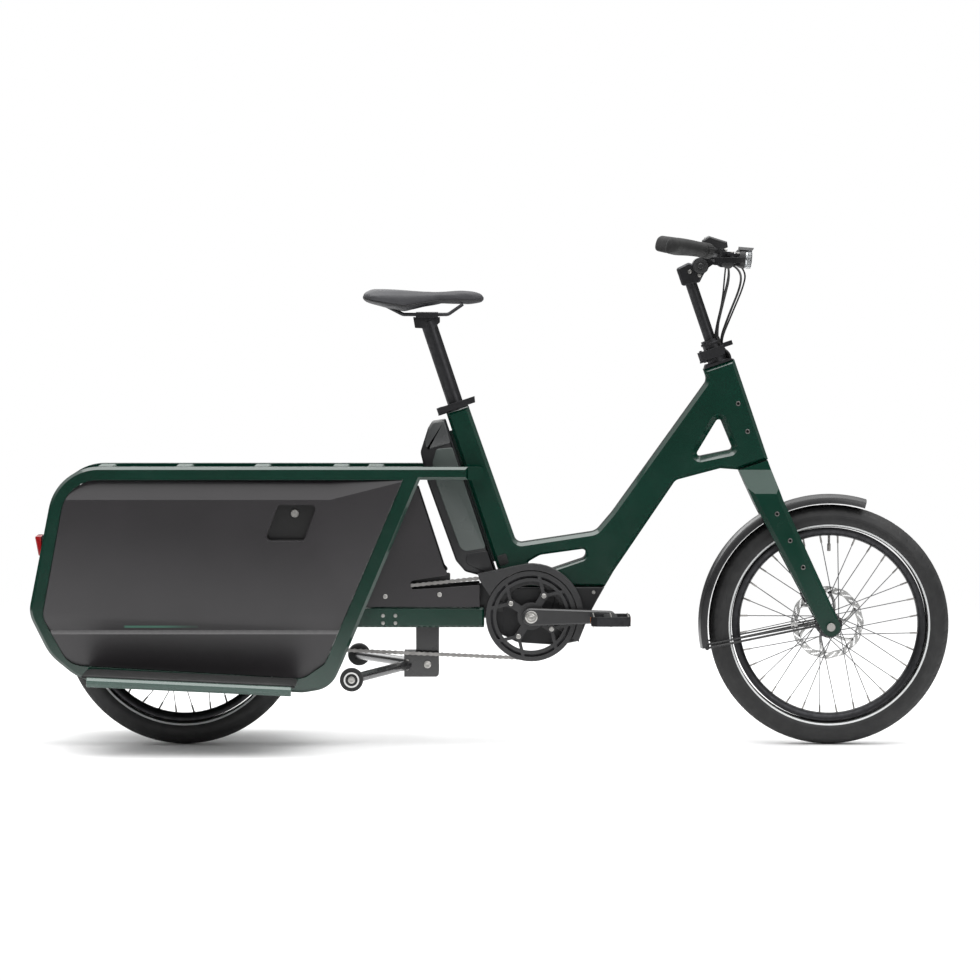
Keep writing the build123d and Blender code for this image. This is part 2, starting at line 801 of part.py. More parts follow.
def saddle():
    """Padded saddle as a plain closed solid."""
    x, z = seat(-post_height, 0)
    side = [
        (x - 143, z + 50, 8),
        (x - 140, z + 62, 4),
        (x - 80, z + 65),
        (x + 80, z + 64),
        (x + 118, z + 57, 8),
        (x + 130, z + 42, 8),
        (x + 112, z + 27),
        (x + 30, z + 27),
        (x - 36, z + 13),
        (x - 62, z + 10),
        (x - 110, z + 20),
    ]
    body = slab(side, -82, 82)
    plan = [
        (x + 130, 12),
        (x + 112, 20),
        (x + 30, 27),
        (x - 40, 55),
        (x - 90, 80),
        (x - 130, 78),
        (x - 145, 40),
    ]
    face = make_face(Polyline(*[(px, py, 0) for px, py in plan + [(px, -py) for px, py in reversed(plan)]], close=True))
    body &= Pos(0, 0, z - 20) * extrude(face, amount=120)
    under = block((x - 150, x + 140), (-42, 42), (z - 10, z + 27))
    return body - under


# ---------------------------------------------------------------- steering
def fork():
    """Welded fork: steerer, crown and two broad legs."""
    leg = [
        head(-1.5, -33),
        head(-1.5, 33),
        (front_x - 104.5, axle_z + 276),
        (front_x + 19, axle_z + 9),
        (front_x - 19, axle_z - 9),
        (front_x - 162, axle_z + 260),
    ]
    solid = slab(leg, -76, 76)
    sides = [e for e in solid.edges() if e.length > 150 and abs(e.center().Y) > 60]
    solid = chamfer(sides, 9)
    solid += disc((front_x, axle_z), 21, -71, 71)
    front = [(-34, 700), (-38, 340), (-76, 290), (-76, 120), (-68, -30)]
    profile = front + [(-y, z) for y, z in reversed(front)]
    face = make_face(Polyline(*[(0, y, axle_z + z * (wheel_r + crown_rise) / 351) for y, z in profile], close=True))
    solid &= Pos(front_x - 300, 0, 0) * extrude(face, amount=400, dir=(1, 0, 0))
    place = (front_x, axle_z)
    inner = front_hub_width / 2 + 2
    solid -= disc(place, wheel_r + 34, -inner, inner)
    for side in (-1, 1):
        solid += disc(place, 15, *sorted((side * (inner - 2), side * (inner + 4))))
    solid -= disc(place, 6 + run_fit, -90, 90)
    solid += rod(tilted(head(-10, 0)), tilted(head(head_length + 45, 0)), steerer_r)
    solid -= rod(tilted(head(column_foot - bar_drop - 5, 0)), tilted(head(head_length + 46, 0)), column_r + run_fit)
    for number in range(3):
        x, z = front_x - 118 + 28.5 * number, axle_z + 246 - 58 * number
        for side in (-1, 1):
            solid -= disc((x, z), 2.5, *sorted((side * 60, side * 80)))
    return solid


def column_clamp():
    """Headset cap and the split collar that holds the stem column."""
    low = head_length + gap
    cap = [head(low, -33), head(low, 33), head(low + 4, 30), head(low + 7, -28)]
    solid = slab(cap, -29, 29)
    solid += rod(tilted(head(low, 0)), tilted(head(low + 56, 0)), 21)
    pivot = clamp_pivot()
    solid += rod(tilted(head(low + 14, -29), -20), tilted(head(low + 17, -29), -20), 9)
    solid += slab([head(low + 12, -29), head(low + 12, -10), head(low + 17, -10), head(low + 17, -29)], -20, 20)
    solid += slab([head(low + 30, 16), head(low + 30, 44), head(low + 40, 44), head(low + 40, 16)], -3, 3)
    solid += rod(tilted(head(low + 16, -29), -20), tilted(head(low + 40, -29), -20), 3)
    solid -= rod(tilted(head(low - 1, 0)), tilted(head(head_length + 46, 0)), steerer_r + run_fit)
    return solid - rod(tilted(head(head_length + 40, 0)), tilted(head(low + 57, 0)), column_r + run_fit)


def clamp_pivot():
    """Pivot place of the height lever, behind the collar."""
    return head(head_length + gap + 16, -29)


def clamp_lever():
    """Quick-release lever for the stem height, on the collar's right side."""
    low = head_length + gap + 17.4
    boss = rod(tilted(head(low, -29), -20), tilted(head(low + 20, -29), -20), 8)
    arm = slab([head(low, -29), head(low, 20), head(low + 20, 24), head(low + 20, -29)], -31, -22.5)
    return boss + arm - rod(tilted(head(low - 1, -29), -20), tilted(head(low + 22, -29), -20), 3 + run_fit)


def front_fender():
    """Curved mudguard with folded sides, on two stays."""
    outer = wheel_r + 23
    start, end = radians(73), radians(191)
    steps = 14
    angles = [start + (end - start) * n / steps for n in range(steps + 1)]

    def arc_slab(big, small, low, high):
        edge = [(front_x + big * cos(a), axle_z + big * sin(a)) for a in angles]
        back = [(front_x + small * cos(a), axle_z + small * sin(a)) for a in reversed(angles)]
        return slab(edge + back, low, high)

    solid = arc_slab(outer, outer - 2.5, -36, 36)
    for side in (-1, 1):
        low, high = sorted((side * 33.5, side * 36))
        solid += arc_slab(outer, outer - 17, low, high)
    tip = (front_x + (outer - 8) * cos(end - 0.02), axle_z + (outer - 8) * sin(end - 0.02))
    for side in (-1, 1):
        low_end = (front_x - 16, side * 47, axle_z + 3)
        solid += rod((tip[0] + 6, side * 38, tip[1] - 2), low_end, 2.5)
        solid += rod((tip[0] + 6, side * 35, tip[1] - 2), (tip[0] + 6, side * 40.5, tip[1] - 2), 3.5)
    return solid


def caliper(place, angle, side_y):
    """Hydraulic brake caliper that straddles its disc."""
    a = radians(angle)
    x, z = place[0] + (rotor_r - 6) * cos(a), place[1] + (rotor_r - 6) * sin(a)
    body = block((-24, 24), (-12, 12.5), (-14, 14))
    body = chamfer(body.edges().filter_by(Axis.Y), 5)
    body = Pos(x, side_y, z) * (Rot(0, 90 - angle, 0) * body)
    return body - disc(place, rotor_r + 2, side_y - 1.6, side_y + 1.6)


def stem_column():
    """Round column that slides in the steerer."""
    return rod(tilted(head(column_foot, 0)), tilted(head(column_top + 30, 0)), column_r, 10.5)


column_top = head_length + 190
bar_centre = head(head_length + 226.5, 70.5)


def stem():
    """Column block, pivot and arm with the handlebar clamp."""
    s = column_top
    points = [
        head(s + 36, -20) + (5,),
        head(s + 40, 10) + (8,),
        head(s + 13, 40) + (8,),
        head(s + 1, 27) + (5,),
        head(s - 8, 18) + (4,),
        head(s - 4, -20) + (5,),
    ]
    solid = eased(slab(points, -21, 21), 3)
    pivot = head(s + 25, 31)
    solid += disc(pivot, 17.5, -25, 25)
    solid += bar_xz(pivot, bar_centre, 26, -15, 15)
    solid += disc(bar_centre, 22, -22, 22)
    solid -= disc(bar_centre, bar_clamp_r + run_fit, -40, 40)
    return solid - rod(tilted(head(s - 20, 0)), tilted(head(s + 31, 0)), column_r + run_fit)


def bar_path_points():
    """Handlebar centre line on the right, from the clamp to its end."""
    x, z = bar_centre
    return [(x, 0, z), (x - 2, -70, z + 1), (x - 13, -185, z + 8), (x - 108, -322, z + 25)]


def grip_point(along, side=-1):
    """Point on the swept part of the handlebar, measured from its bend."""
    bend, end = [Vector(*p) for p in bar_path_points()[2:]]
    point = bend + (end - bend).normalized() * along
    return point.X, -side * point.Y, point.Z


def handlebar():
    """Swept bar with a thicker middle."""
    points = bar_path_points()
    path = FilletPolyline(*points[1:], radius=50)
    tube = sweep(Plane(origin=path @ 0, z_dir=path % 0) * Circle(bar_r), path=path)
    middle = rod(points[0], points[1], bar_r)
    wide = disc(bar_centre, bar_clamp_r, -30, 0)
    right = tube + middle + wide
    return right + other_side(right)


def grip(first, side):
    """Grip with a palm rest, closed over the bar's end."""
    start, end = grip_point(first, side), grip_point(170, side)
    solid = rod(start, end, grip_r)
    x0, y0, z0 = grip_point(95, side)
    x1, y1, z1 = grip_point(168, side)
    solid += rod((x0 - 3, y0, z0 - 1), (x1 - 15, y1 - side * 8, z1 - 3), 13)
    return solid - rod(grip_point(first - 5, side), grip_point(167.7, side), bar_r + 0.02)


def twist_sleeve():
    """Gear twist sleeve inside the right grip."""
    return rod(grip_point(20, -1), grip_point(46, -1), 17, bar_r + run_fit)


def shifter_pod():
    """Gear indicator on the bar inside the twist sleeve."""
    x, z = bar_centre
    ring = rod((x - 8.7, -140, z + 5.3), (x - 11.4, -168, z + 7), 16)
    pod = slab(
        [(x - 38, z + 16), (x - 36, z + 33), (x - 22, z + 42), (x + 16, z + 30), (x + 18, z + 18), (x, z + 10)],
        -170,
        -134,
    )
    solid = ring + eased(pod, 3)
    return solid - rod((x - 2, -70, z + 1), (x - 13, -185, z + 8), bar_r + 0.05)


lever_pivot = (bar_centre[0] + 42, -118.0, bar_centre[1] - 9)


def brake_perch():
    """Lever clamp and master cylinder on the right half of the bar."""
    x, z = bar_centre
    ring = rod((x - 4.6, -98, z + 2.9), (x - 6.2, -114, z + 3.9), 17)
    body = rod((x + 20, -84, z - 16), (x + 20, -136, z - 16), 12)
    arm = block((x + 5, x + 26), (-116, -92), (z - 16, z + 8))
    low = block((x + 18, x + 46), (-128, -108), (z - 22, z - 17))
    high = block((x + 18, x + 46), (-128, -108), (z - 1, z + 4))
    px, py, pz = lever_pivot
    pin = rod((px, py, pz - 12), (px, py, pz + 12), 3)
    slot = block((x + 33, x + 60), (-150, -90), (z - 17, z - 1))
    solid = (ring + body + arm + low + high) - slot + pin
    return solid - rod((x - 2, -70, z + 1), (x - 13, -185, z + 8), bar_r + 0.05)


def brake_lever():
    """Brake lever blade of the right side, turning on its pin."""
    px, py, pz = lever_pivot
    left = [(px - 8, py), (px - 1, py - 42), (px - 21, py - 92), (px - 57, py - 146)]
    right = [(px - 52, py - 150), (px - 8, py - 98), (px + 12, py - 42), (px + 8, py)]
    face = make_face(Polyline(*[(a, b, 0) for a, b in left + right], close=True))
    blade = Pos(0, 0, pz - 6) * extrude(face, amount=12)
    boss = rod((px, py, pz - 7.5), (px, py, pz + 7.5), 8.5)
    return blade + boss - rod((px, py, pz - 14), (px, py, pz + 14), 3 + run_fit)


def headlight():
    """Round lamp with a visor, on a bracket at the stem's face."""
    x, z = bar_centre
    start, end = (x + 42, 0, z - 6), (x + 78, 0, z - 9)
    lamp = rod(start, end, 22)
    arm = block((x + 22.05, x + 44), (-8, 8), (z - 12, z + 2))
    visor = slab([(x + 42, z + 14), (x + 84, z + 12), (x + 84, z + 15), (x + 42, z + 18)], -16, 16)
    return lamp + arm + visor


def hose_points(number):
    """Route of one control hose from a brake or shifter down to the headset cap."""
    x, z = bar_centre
    bx, bz = head(head_length + 7, 25)
    side = (-1, 1, -1, 1)[number]
    spread = (7, 7, 13, 13)[number]
    bow = (22, 30, 6, 12)[number]
    top = (x + 30 + (14 if number < 2 else 0), side * (70 if number < 2 else 44), z - 28)
    return [
        top,
        (top[0] + bow * 0.6, top[1] - side * 16, z - 52),
        (top[0] + bow * 0.5, side * 30, z - 92),
        (bx + 22 + bow * 0.3, side * 20, z - 145),
        (bx + 5, side * spread, bz + 26),
        (bx, side * spread, bz),
    ]


def control_hoses():
    """Four hoses and cables that run from the bar into the headset cap."""
    tubes = []
    for number in range(4):
        points = hose_points(number)
        radii = corner_radii(points)
        print("hose", number + 1, "arc radii", [round(r, 1) for r in radii])
        path = FilletPolyline(*points, radius=radii)
        tubes.append(sweep(Plane(origin=path @ 0, z_dir=path % 0) * Circle(2.4), path=path))
    return group(*tubes)


def corner_radii(points):
    """Arc radius at each corner: 0.45 of the shorter run over the tangent of half the turn."""
    found = []
    for a, b, c in zip(points, points[1:], points[2:]):
        first, second = Vector(*b) - Vector(*a), Vector(*c) - Vector(*b)
        turn = radians(first.get_angle(second))
        found.append(0.45 * min(first.length, second.length) / tan(turn / 2))
    return found


def frame_bolts():
    """Socket screws: rail joints, skirts and bottle bosses."""
    found = []
    for dx, dz in ((-322, 1), (-295, 1), (-322, -15), (-295, -15)):
        found.append(disc(bracket(dx, dz), 4.2, -61.5, -59))
    for dx, dz in ((-317, 43), (-199, 47)):
        found.append(disc(bracket(dx, dz), 5.0, -rail_in - 1.5, 0.2 - rail_in))
    return group(*found, *[other_side(bolt) for bolt in found])


# ---------------------------------------------------------------- the assembly
def build():
    """Every node by name."""
    front, back = (front_x, axle_z), (rear_x, axle_z)
    front_rotor_y = front_hub_width / 2 - 10.5
    rear_rotor_y = rear_hub_width / 2 - 15.5
    return {
        "main_frame": main_frame(),
        "bearing_rings": bearing_rings(),
        "rear_frame": rear_frame(),
        "hoops": hoops(),
        "cross_bars": cross_bars(),
        "rear_light": rear_light(),
        "side_panels": pair(side_panel()),
        "panel_lock_right": other_side(panel_lock()),
        "panel_lock_left": panel_lock(),
        "skirts": pair(skirt()),
        "footboard_frames": pair(footboard_frame()),
        "footboard_treads": pair(footboard_tread()),
        "motor": group(motor_housing(), motor_cover()),
        "chain_shroud": chain_shroud(),
        "battery_case": battery_case(),
        "frame_bolts": frame_bolts(),
        "rear_fender": rear_fender(),
        "rear_axle": axle(back, 73),
        "rear_caliper": caliper(back, 62, rear_rotor_y),
        "rear_tyre": tyre(back),
        "rear_rim": rim(back),
        "rear_spokes": wheel_spokes(back, 45, 28),
        "rear_hub": group(hub(back, rear_hub_width, 45, 28, 38), rotor(back, rear_rotor_y)),
        "rear_sprocket": toothed(back, cog_r, cog_teeth, 12 + gap),
        "drive_chain": drive_chain(),
        "spider": spider(),
        "chainring": toothed((bb_x, bb_z), ring_r, ring_teeth, 76),
        "crank_right": crank(-1, crank_length),
        "crank_left": crank(1, -crank_length),
        "pedal_right": pedal(-1, crank_length),
        "pedal_left": pedal(1, -crank_length),
        "stand_bracket": stand_bracket(),
        "stand_legs": stand_legs(),
        "stand_feet": stand_feet(),
        "seat_clamp": seat_clamp(),
        "seat_lever": seat_lever(),
        "seat_post": group(seat_post(), saddle_rails()),
        "saddle": saddle(),
        "fork": fork(),
        "front_axle": axle(front, 76),
        "front_fender": front_fender(),
        "front_caliper": caliper(front, 118, front_rotor_y),
        "column_clamp": column_clamp(),
        "clamp_lever": clamp_lever(),
        "front_tyre": tyre(front),
        "front_rim": rim(front),
        "front_spokes": wheel_spokes(front, 24, 26),
        "front_hub": hub(front, front_hub_width, 24, 26, 14),
        "front_rotor": rotor(front, front_rotor_y),
        "stem_column": stem_column(),
        "stem": stem(),
        "handlebar": handlebar(),
        "grips": group(grip(48, -1), grip(20, 1)),
        "twist_sleeve": twist_sleeve(),
        "shifter_pod": shifter_pod(),
        "brake_perches": pair(brake_perch()),
        "brake_lever_right": brake_lever(),
        "brake_lever_left": other_side(brake_lever()),
        "headlight": headlight(),
        "control_hoses": control_hoses(),
    }


os.makedirs("parts", exist_ok=True)
for node, shape in build().items():
    export_step(shape, f"parts/{node}.step")
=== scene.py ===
"""Looks of a longtail cargo bicycle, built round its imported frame.

Shapes are worked out in millimetres in the object's own frame, and go into the meshes in metres.
X points forwards, Y to the rider's left and Z up. The drive side is at negative Y.
"""

import json

import bmesh
import bpy
import numpy as np
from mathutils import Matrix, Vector

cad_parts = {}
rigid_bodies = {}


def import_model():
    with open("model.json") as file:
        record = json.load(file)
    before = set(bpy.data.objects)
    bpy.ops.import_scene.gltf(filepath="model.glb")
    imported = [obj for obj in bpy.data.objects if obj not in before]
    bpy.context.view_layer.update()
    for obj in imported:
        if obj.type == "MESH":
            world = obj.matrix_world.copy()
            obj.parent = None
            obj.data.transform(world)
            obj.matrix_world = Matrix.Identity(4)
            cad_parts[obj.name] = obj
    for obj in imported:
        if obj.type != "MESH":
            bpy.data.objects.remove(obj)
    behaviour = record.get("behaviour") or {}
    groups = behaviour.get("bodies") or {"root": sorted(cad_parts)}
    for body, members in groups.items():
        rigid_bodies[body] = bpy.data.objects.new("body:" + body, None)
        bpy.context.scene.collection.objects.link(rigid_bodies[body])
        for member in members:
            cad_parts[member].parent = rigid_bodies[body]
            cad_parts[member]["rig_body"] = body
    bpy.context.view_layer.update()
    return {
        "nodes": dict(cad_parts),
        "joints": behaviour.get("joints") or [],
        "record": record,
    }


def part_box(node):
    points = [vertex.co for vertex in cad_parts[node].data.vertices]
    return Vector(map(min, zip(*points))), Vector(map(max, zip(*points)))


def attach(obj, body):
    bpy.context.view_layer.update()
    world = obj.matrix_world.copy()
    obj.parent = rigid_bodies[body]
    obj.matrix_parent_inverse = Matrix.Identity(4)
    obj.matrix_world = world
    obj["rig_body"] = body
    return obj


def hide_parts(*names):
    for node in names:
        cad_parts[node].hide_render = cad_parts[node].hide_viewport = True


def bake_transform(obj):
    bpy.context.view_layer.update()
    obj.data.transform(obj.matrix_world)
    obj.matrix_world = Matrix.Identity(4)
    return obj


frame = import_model()
scene = bpy.context.scene
nodes = frame["nodes"]
joints = {joint["name"]: joint for joint in frame["joints"]}


# ------------------------------------------------------------------------------------------ places
# The wheels' centres, the crank axis, and the two sloping axes of the steering and the seat post.
# Every piece below is placed from these or from the box of its own CAD node.


def corners(node):
    """Lowest and highest corner of a CAD node, in millimetres."""
    low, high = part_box(node)
    return 1000 * np.array(low), 1000 * np.array(high)


def middle(node):
    """Centre of a CAD node's box, in millimetres."""
    low, high = corners(node)
    return (low + high) / 2


def hinge_place(name):
    """A point on a joint's axis, in millimetres."""
    return 1000 * np.array(joints[name]["pos_m"])


front_axle = middle("front_tyre")
rear_axle = middle("rear_tyre")
crank_axis = hinge_place("crank_spin") * (1, 0, 1)
wheel_r = front_axle[2]
steer_up = np.array(joints["steer"]["axis"], float)
steer_ahead = np.array([steer_up[2], 0, -steer_up[0]])
seat_up = np.array(joints["seat_height"]["axis"], float)
seat_ahead = np.array([seat_up[2], 0, -seat_up[0]])
head_foot = hinge_place("steer") - 100 * steer_up
seat_top = (hinge_place("seat_lever_swing") - 8 * seat_up + 34 * seat_ahead) * (1, 0, 1)
bar_high = corners("handlebar")[1]
bar_centre = np.array([bar_high[0] - 15.9, 0, hinge_place("brake_right")[2] + 9])


def head(along, ahead, y=0.0):
    """A point up the steering axis from the head tube's foot, and ahead of it."""
    return head_foot + along * steer_up + ahead * steer_ahead + (0, y, 0)


def seat(down, ahead, y=0.0):
    """A point down the seat tube from its top, and ahead of its axis."""
    return seat_top - down * seat_up + ahead * seat_ahead + (0, y, 0)


# ------------------------------------------------------------------------------------------- stage
# A pale floor that fades into a plain white surround, one large soft light overhead and two weak
# ones behind, and a camera with a long lens, square to the bicycle's drive side and a little above.


class Wire:
    """An output socket in a node tree. Arithmetic on it adds Math nodes to the same tree."""

    def __init__(self, finish, socket):
        self.finish, self.socket = finish, socket

    def math(self, operation, *values):
        """A Math node of that operation on the values."""
        return self.finish.node("ShaderNodeMath", {"operation": operation}, *values)

    def __add__(self, other):
        return self.math("ADD", self, other)

    def __sub__(self, other):
        return self.math("SUBTRACT", self, other)

    def __rsub__(self, other):
        return self.math("SUBTRACT", other, self)

    def __mul__(self, other):
        return self.math("MULTIPLY", self, other)

    def __abs__(self):
        return self.math("ABSOLUTE", self)

    __radd__, __rmul__ = __add__, __mul__

    def ramp(self, low, high, start=0.0, end=1.0):
        """Start below low and end above high, with a smooth step between."""
        settings = {"interpolation_type": "SMOOTHSTEP"}
        return self.finish.node("ShaderNodeMapRange", settings, self, low, high, start, end)

    def band(self, low, high, soft):
        """1 between low and high, and 0 outside, over a soft edge."""
        return self.ramp(low - soft, low + soft) * self.ramp(high - soft, high + soft, 1.0, 0.0)


class Finish:
    """A material, or the world, that is wired up node by node."""

    def __init__(self, name, world=False):
        self.data = (bpy.data.worlds if world else bpy.data.materials).new(name)
        self.data.use_nodes = True
        self.tree = self.data.node_tree
        kind = "ShaderNodeBackground" if world else "ShaderNodeBsdfPrincipled"
        self.shader = next(n for n in self.tree.nodes if n.bl_idname == kind)
        kind = "ShaderNodeOutputWorld" if world else "ShaderNodeOutputMaterial"
        self.output = next(n for n in self.tree.nodes if n.bl_idname == kind)

    def node(self, kind, settings=None, *values, out=0, **named):
        """Adds a node: its settings first, then values or wires for its sockets, in order or by name."""
        made = self.tree.nodes.new(kind)
        for key, value in (settings or {}).items():
            setattr(made, key, value)
        self.join(made, {**dict(enumerate(values)), **named})
        return Wire(self, made.outputs[out])

    def join(self, made, values):
        """Links or sets a node's sockets. A value of None leaves its socket as it is."""
        for key, value in values.items():
            socket = made.inputs[key.replace("_", " ") if isinstance(key, str) else key]
            if isinstance(value, Wire):
                self.tree.links.new(value.socket, socket)
            elif value is not None:
                socket.default_value = value

    def set(self, **values):
        """Sets or links sockets of the shader itself."""
        self.join(self.shader, values)
        return self

    def place(self, centre=(0, 0, 0), stretch=(1, 1, 1)):
        """Object coordinates in millimetres from a centre, multiplied by stretch."""
        spot = self.node("ShaderNodeTexCoord", out=3)
        shift = [c / 1000 for c in centre]
        spot = self.node("ShaderNodeVectorMath", {"operation": "SUBTRACT"}, spot, shift)
        scale = [1000 * s for s in stretch]
        return self.node("ShaderNodeVectorMath", {"operation": "MULTIPLY"}, spot, scale)

    def along(self, direction, centre=(0, 0, 0)):
        """How far a point lies along a direction from a centre, in millimetres."""
        settings = {"operation": "DOT_PRODUCT"}
        return self.node("ShaderNodeVectorMath", settings, self.place(centre), list(direction), out=1)

    def reach(self, centre, stretch=(1, 0, 1)):
        """Distance in millimetres from a line along Y through centre."""
        settings = {"operation": "LENGTH"}
        return self.node("ShaderNodeVectorMath", settings, self.place(centre, stretch), out=1)

    def noise(self, size, detail=3.0, centre=(0, 0, 0), stretch=(1, 1, 1)):
        """Soft noise from 0 to 1, with blotches about size millimetres across."""
        spot = self.place(centre, stretch)
        return self.node("ShaderNodeTexNoise", None, spot, Scale=1 / size, Detail=detail)

    def pebbles(self, size):
        """Rounded cells about size millimetres across: 0 at each middle, 1 at the edges."""
        return self.node("ShaderNodeTexVoronoi", None, self.place(), Scale=1 / size)

    def mix(self, share, one, two):
        """Colour one where share is 0, and colour two where it is 1."""
        colours = [list(c) + [1] if isinstance(c, tuple) else c for c in (one, two)]
        values = [share, None, None, None, None, None, *colours]
        return self.node("ShaderNodeMix", {"data_type": "RGBA"}, *values, out=2)

    def facing_up(self):
        """1 on a level top, 0 on a side, below 0 underneath."""
        normal = self.node("ShaderNodeNewGeometry", out=1)
        settings = {"operation": "DOT_PRODUCT"}
        return self.node("ShaderNodeVectorMath", settings, normal, [0, 0, 1], out=1)

    def bump(self, height, depth):
        """Normal of a surface raised by height, from 0 to 1, times a depth in millimetres."""
        return self.node("ShaderNodeBump", Strength=1.0, Distance=depth / 1000, Height=height)


def surround():
    """White to the camera; to the object a dim horizon under a bright top, as in a tented studio."""
    world = Finish("studio_surround", world=True)
    direction = world.node("ShaderNodeTexCoord", out=0)
    up = world.node("ShaderNodeVectorMath", {"operation": "DOT_PRODUCT"}, direction, [0, 0, 1], out=1)
    glow = up.ramp(0.10, 0.80, 0.09, 1.7) + up.ramp(-0.25, -0.02, 0.4, 0.0)
    seen = world.node("ShaderNodeLightPath")
    world.set(Color=(1, 1, 1, 1), Strength=seen * 1.0 + (1 - seen) * glow)
    scene.world = world.data


def floor():
    """Matt disc whose paint fades out with distance, so that no edge shows."""
    radius = 9.0
    turn = np.linspace(0, 2 * np.pi, 97)[:-1]
    rim = np.stack([radius * np.cos(turn), radius * np.sin(turn), -0.0005 + 0 * turn], 1)
    mesh = bpy.data.meshes.new("floor")
    mesh.from_pydata(rim.tolist(), [], [list(range(len(rim)))])
    paint = Finish("floor_paint")
    speckle = paint.noise(3.0, 4)
    paint.set(Base_Color=paint.mix(speckle, (0.80, 0.80, 0.80), (0.84, 0.84, 0.84)), Roughness=0.75)
    clear = paint.node("ShaderNodeBsdfTransparent")
    fade = paint.reach((0, 0, 0), (0.75, 1, 0)).ramp(1500, 3800, 0.0, 1.0)
    shader = Wire(paint, paint.shader.outputs[0])
    shown = paint.node("ShaderNodeMixShader", None, fade, shader, clear)
    paint.join(paint.output, {"Surface": shown})
    mesh.materials.append(paint.data)
    ground = bpy.data.objects.new("floor", mesh)
    scene.collection.objects.link(ground)


def softbox(name, place, target, size, power):
    """Square area light aimed at a point."""
    lamp = bpy.data.lights.new(name, "AREA")
    lamp.shape, lamp.size, lamp.size_y, lamp.energy = "RECTANGLE", size[0], size[1], power
    holder = bpy.data.objects.new(name, lamp)
    holder.location = place
    holder.rotation_euler = (Vector(target) - Vector(place)).to_track_quat("-Z", "Y").to_euler()
    scene.collection.objects.link(holder)


def camera():
    """Long lens ten metres out on the drive side, at 1.16 m, looking down a few degrees."""
    lens = bpy.data.cameras.new("camera")
    lens.lens, lens.sensor_width = 168.7, 36.0
    holder = bpy.data.objects.new("camera", lens)
    holder.location = (-0.002, -10.0, 1.16)
    aim = Vector((-0.001, 0.0, 0.5555)) - holder.location
    holder.rotation_euler = aim.to_track_quat("-Z", "Y").to_euler()
    scene.collection.objects.link(holder)
    scene.camera = holder


surround()
floor()
softbox("overhead", (0, -0.4, 3.6), (0, 0, 0.5), (4.6, 2.6), 110)
softbox("back_rim", (-1.5, 3.4, 2.2), (0, 0, 0.6), (3.0, 1.4), 28)
softbox("front_fill", (2.6, -3.6, 2.4), (0, 0, 0.5), (2.2, 1.6), 34)
camera()
scene.view_settings.view_transform = "Standard"


# -------------------------------------------------------------------------------------- main frame
# Welded aluminium box sections with broad chamfers, powder coated in a very dark glossy green. The
# head tube, strut, step beam and seat tube are one weldment, and the headset cups press into it.


def dressed(name, mesh, finish, node, *stands_for, sharp=40.0):
    """Puts a mesh into the scene: welded, faces out, smooth but for edges over the sharp angle."""
    shape = bmesh.new()
    shape.from_mesh(mesh)
    bmesh.ops.remove_doubles(shape, verts=shape.verts, dist=2e-6)
    bmesh.ops.recalc_face_normals(shape, faces=shape.faces)
    shape.to_mesh(mesh)
    shape.free()
    mesh.materials.append(finish.data)
    mesh.shade_smooth()
    mesh.set_sharp_from_angle(angle=np.radians(sharp))
    piece = bpy.data.objects.new(name, mesh)
    scene.collection.objects.link(piece)
    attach(piece, nodes[node]["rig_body"])
    if stands_for:
        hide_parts(*stands_for)
    return piece


def softened(node, finish, edge=1.0, sharp=28.0):
    """A CAD node's own shape, its flat faces joined and every corner over 28 degrees rounded."""
    source = nodes[node].data
    points = np.empty(3 * len(source.vertices))
    source.vertices.foreach_get("co", points)
    faces = np.empty(len(source.loops), int)
    source.loops.foreach_get("vertex_index", faces)
    mesh = bpy.data.meshes.new(node + "_finished")
    mesh.from_pydata(points.reshape(-1, 3).tolist(), [], faces.reshape(-1, 3).tolist())
    shape = bmesh.new()
    shape.from_mesh(mesh)
    bmesh.ops.remove_doubles(shape, verts=shape.verts, dist=2e-6)
    bmesh.ops.dissolve_degenerate(shape, edges=shape.edges, dist=1e-6)
    bmesh.ops.dissolve_limit(shape, angle_limit=0.01, verts=shape.verts, edges=shape.edges)
    shape.to_mesh(mesh)
    shape.free()
    piece = dressed(node + "_finished", mesh, finish, node, node, sharp=sharp)
    if edge:
        rounding = piece.modifiers.new("rounded_edges", "BEVEL")
        rounding.width, rounding.segments = edge / 1000, 2
        rounding.limit_method, rounding.angle_limit = "ANGLE", np.radians(sharp)
        rounding.harden_normals = True
        rounding.use_clamp_overlap = True
    return piece


def powder_coat(name, deep, light, rough=0.16):
    """Glossy coat: slow colour drift, faint orange peel, and a little dust where it faces up."""
    coat = Finish(name)
    drift = coat.noise(220, 2)
    dust = coat.facing_up().ramp(0.55, 1.0) * coat.noise(9, 5).ramp(0.35, 0.75)
    colour = coat.mix(drift.ramp(0.3, 0.7), deep, light)
    colour = coat.mix(dust * 0.12, colour, (0.30, 0.31, 0.29))
    smear = coat.noise(45, 4).ramp(0.35, 0.8)
    coat.set(Base_Color=colour, Roughness=rough + 0.07 * smear + 0.12 * dust)
    coat.set(Coat_Weight=0.7, Coat_Roughness=0.05, Specular_IOR_Level=0.45)
    return coat.set(Normal=coat.bump(coat.noise(1.6, 2), 0.012))


green_coat = powder_coat("green_powder_coat", (0.0006, 0.0215, 0.0125), (0.0010, 0.0265, 0.0160))
softened("main_frame", green_coat, 2.4)


def ground_steel(name, colour, rough, size, depth=0.01):
    """Bright metal with fine grinding marks and soft stains."""
    metal = Finish(name)
    stain = metal.noise(14, 4).ramp(0.3, 0.75)
    marks = metal.noise(size, 2, stretch=(1, 6, 1))
    dull = tuple(0.72 * c for c in colour)
    metal.set(Base_Color=metal.mix(stain, colour, dull), Metallic=1.0)
    metal.set(Roughness=rough + 0.14 * stain + 0.06 * marks)
    return metal.set(Normal=metal.bump(marks, depth))


bearing_metal = ground_steel("ground_bearing_steel", (0.62, 0.61, 0.59), 0.2, 0.6)
softened("bearing_rings", bearing_metal, 0.4)


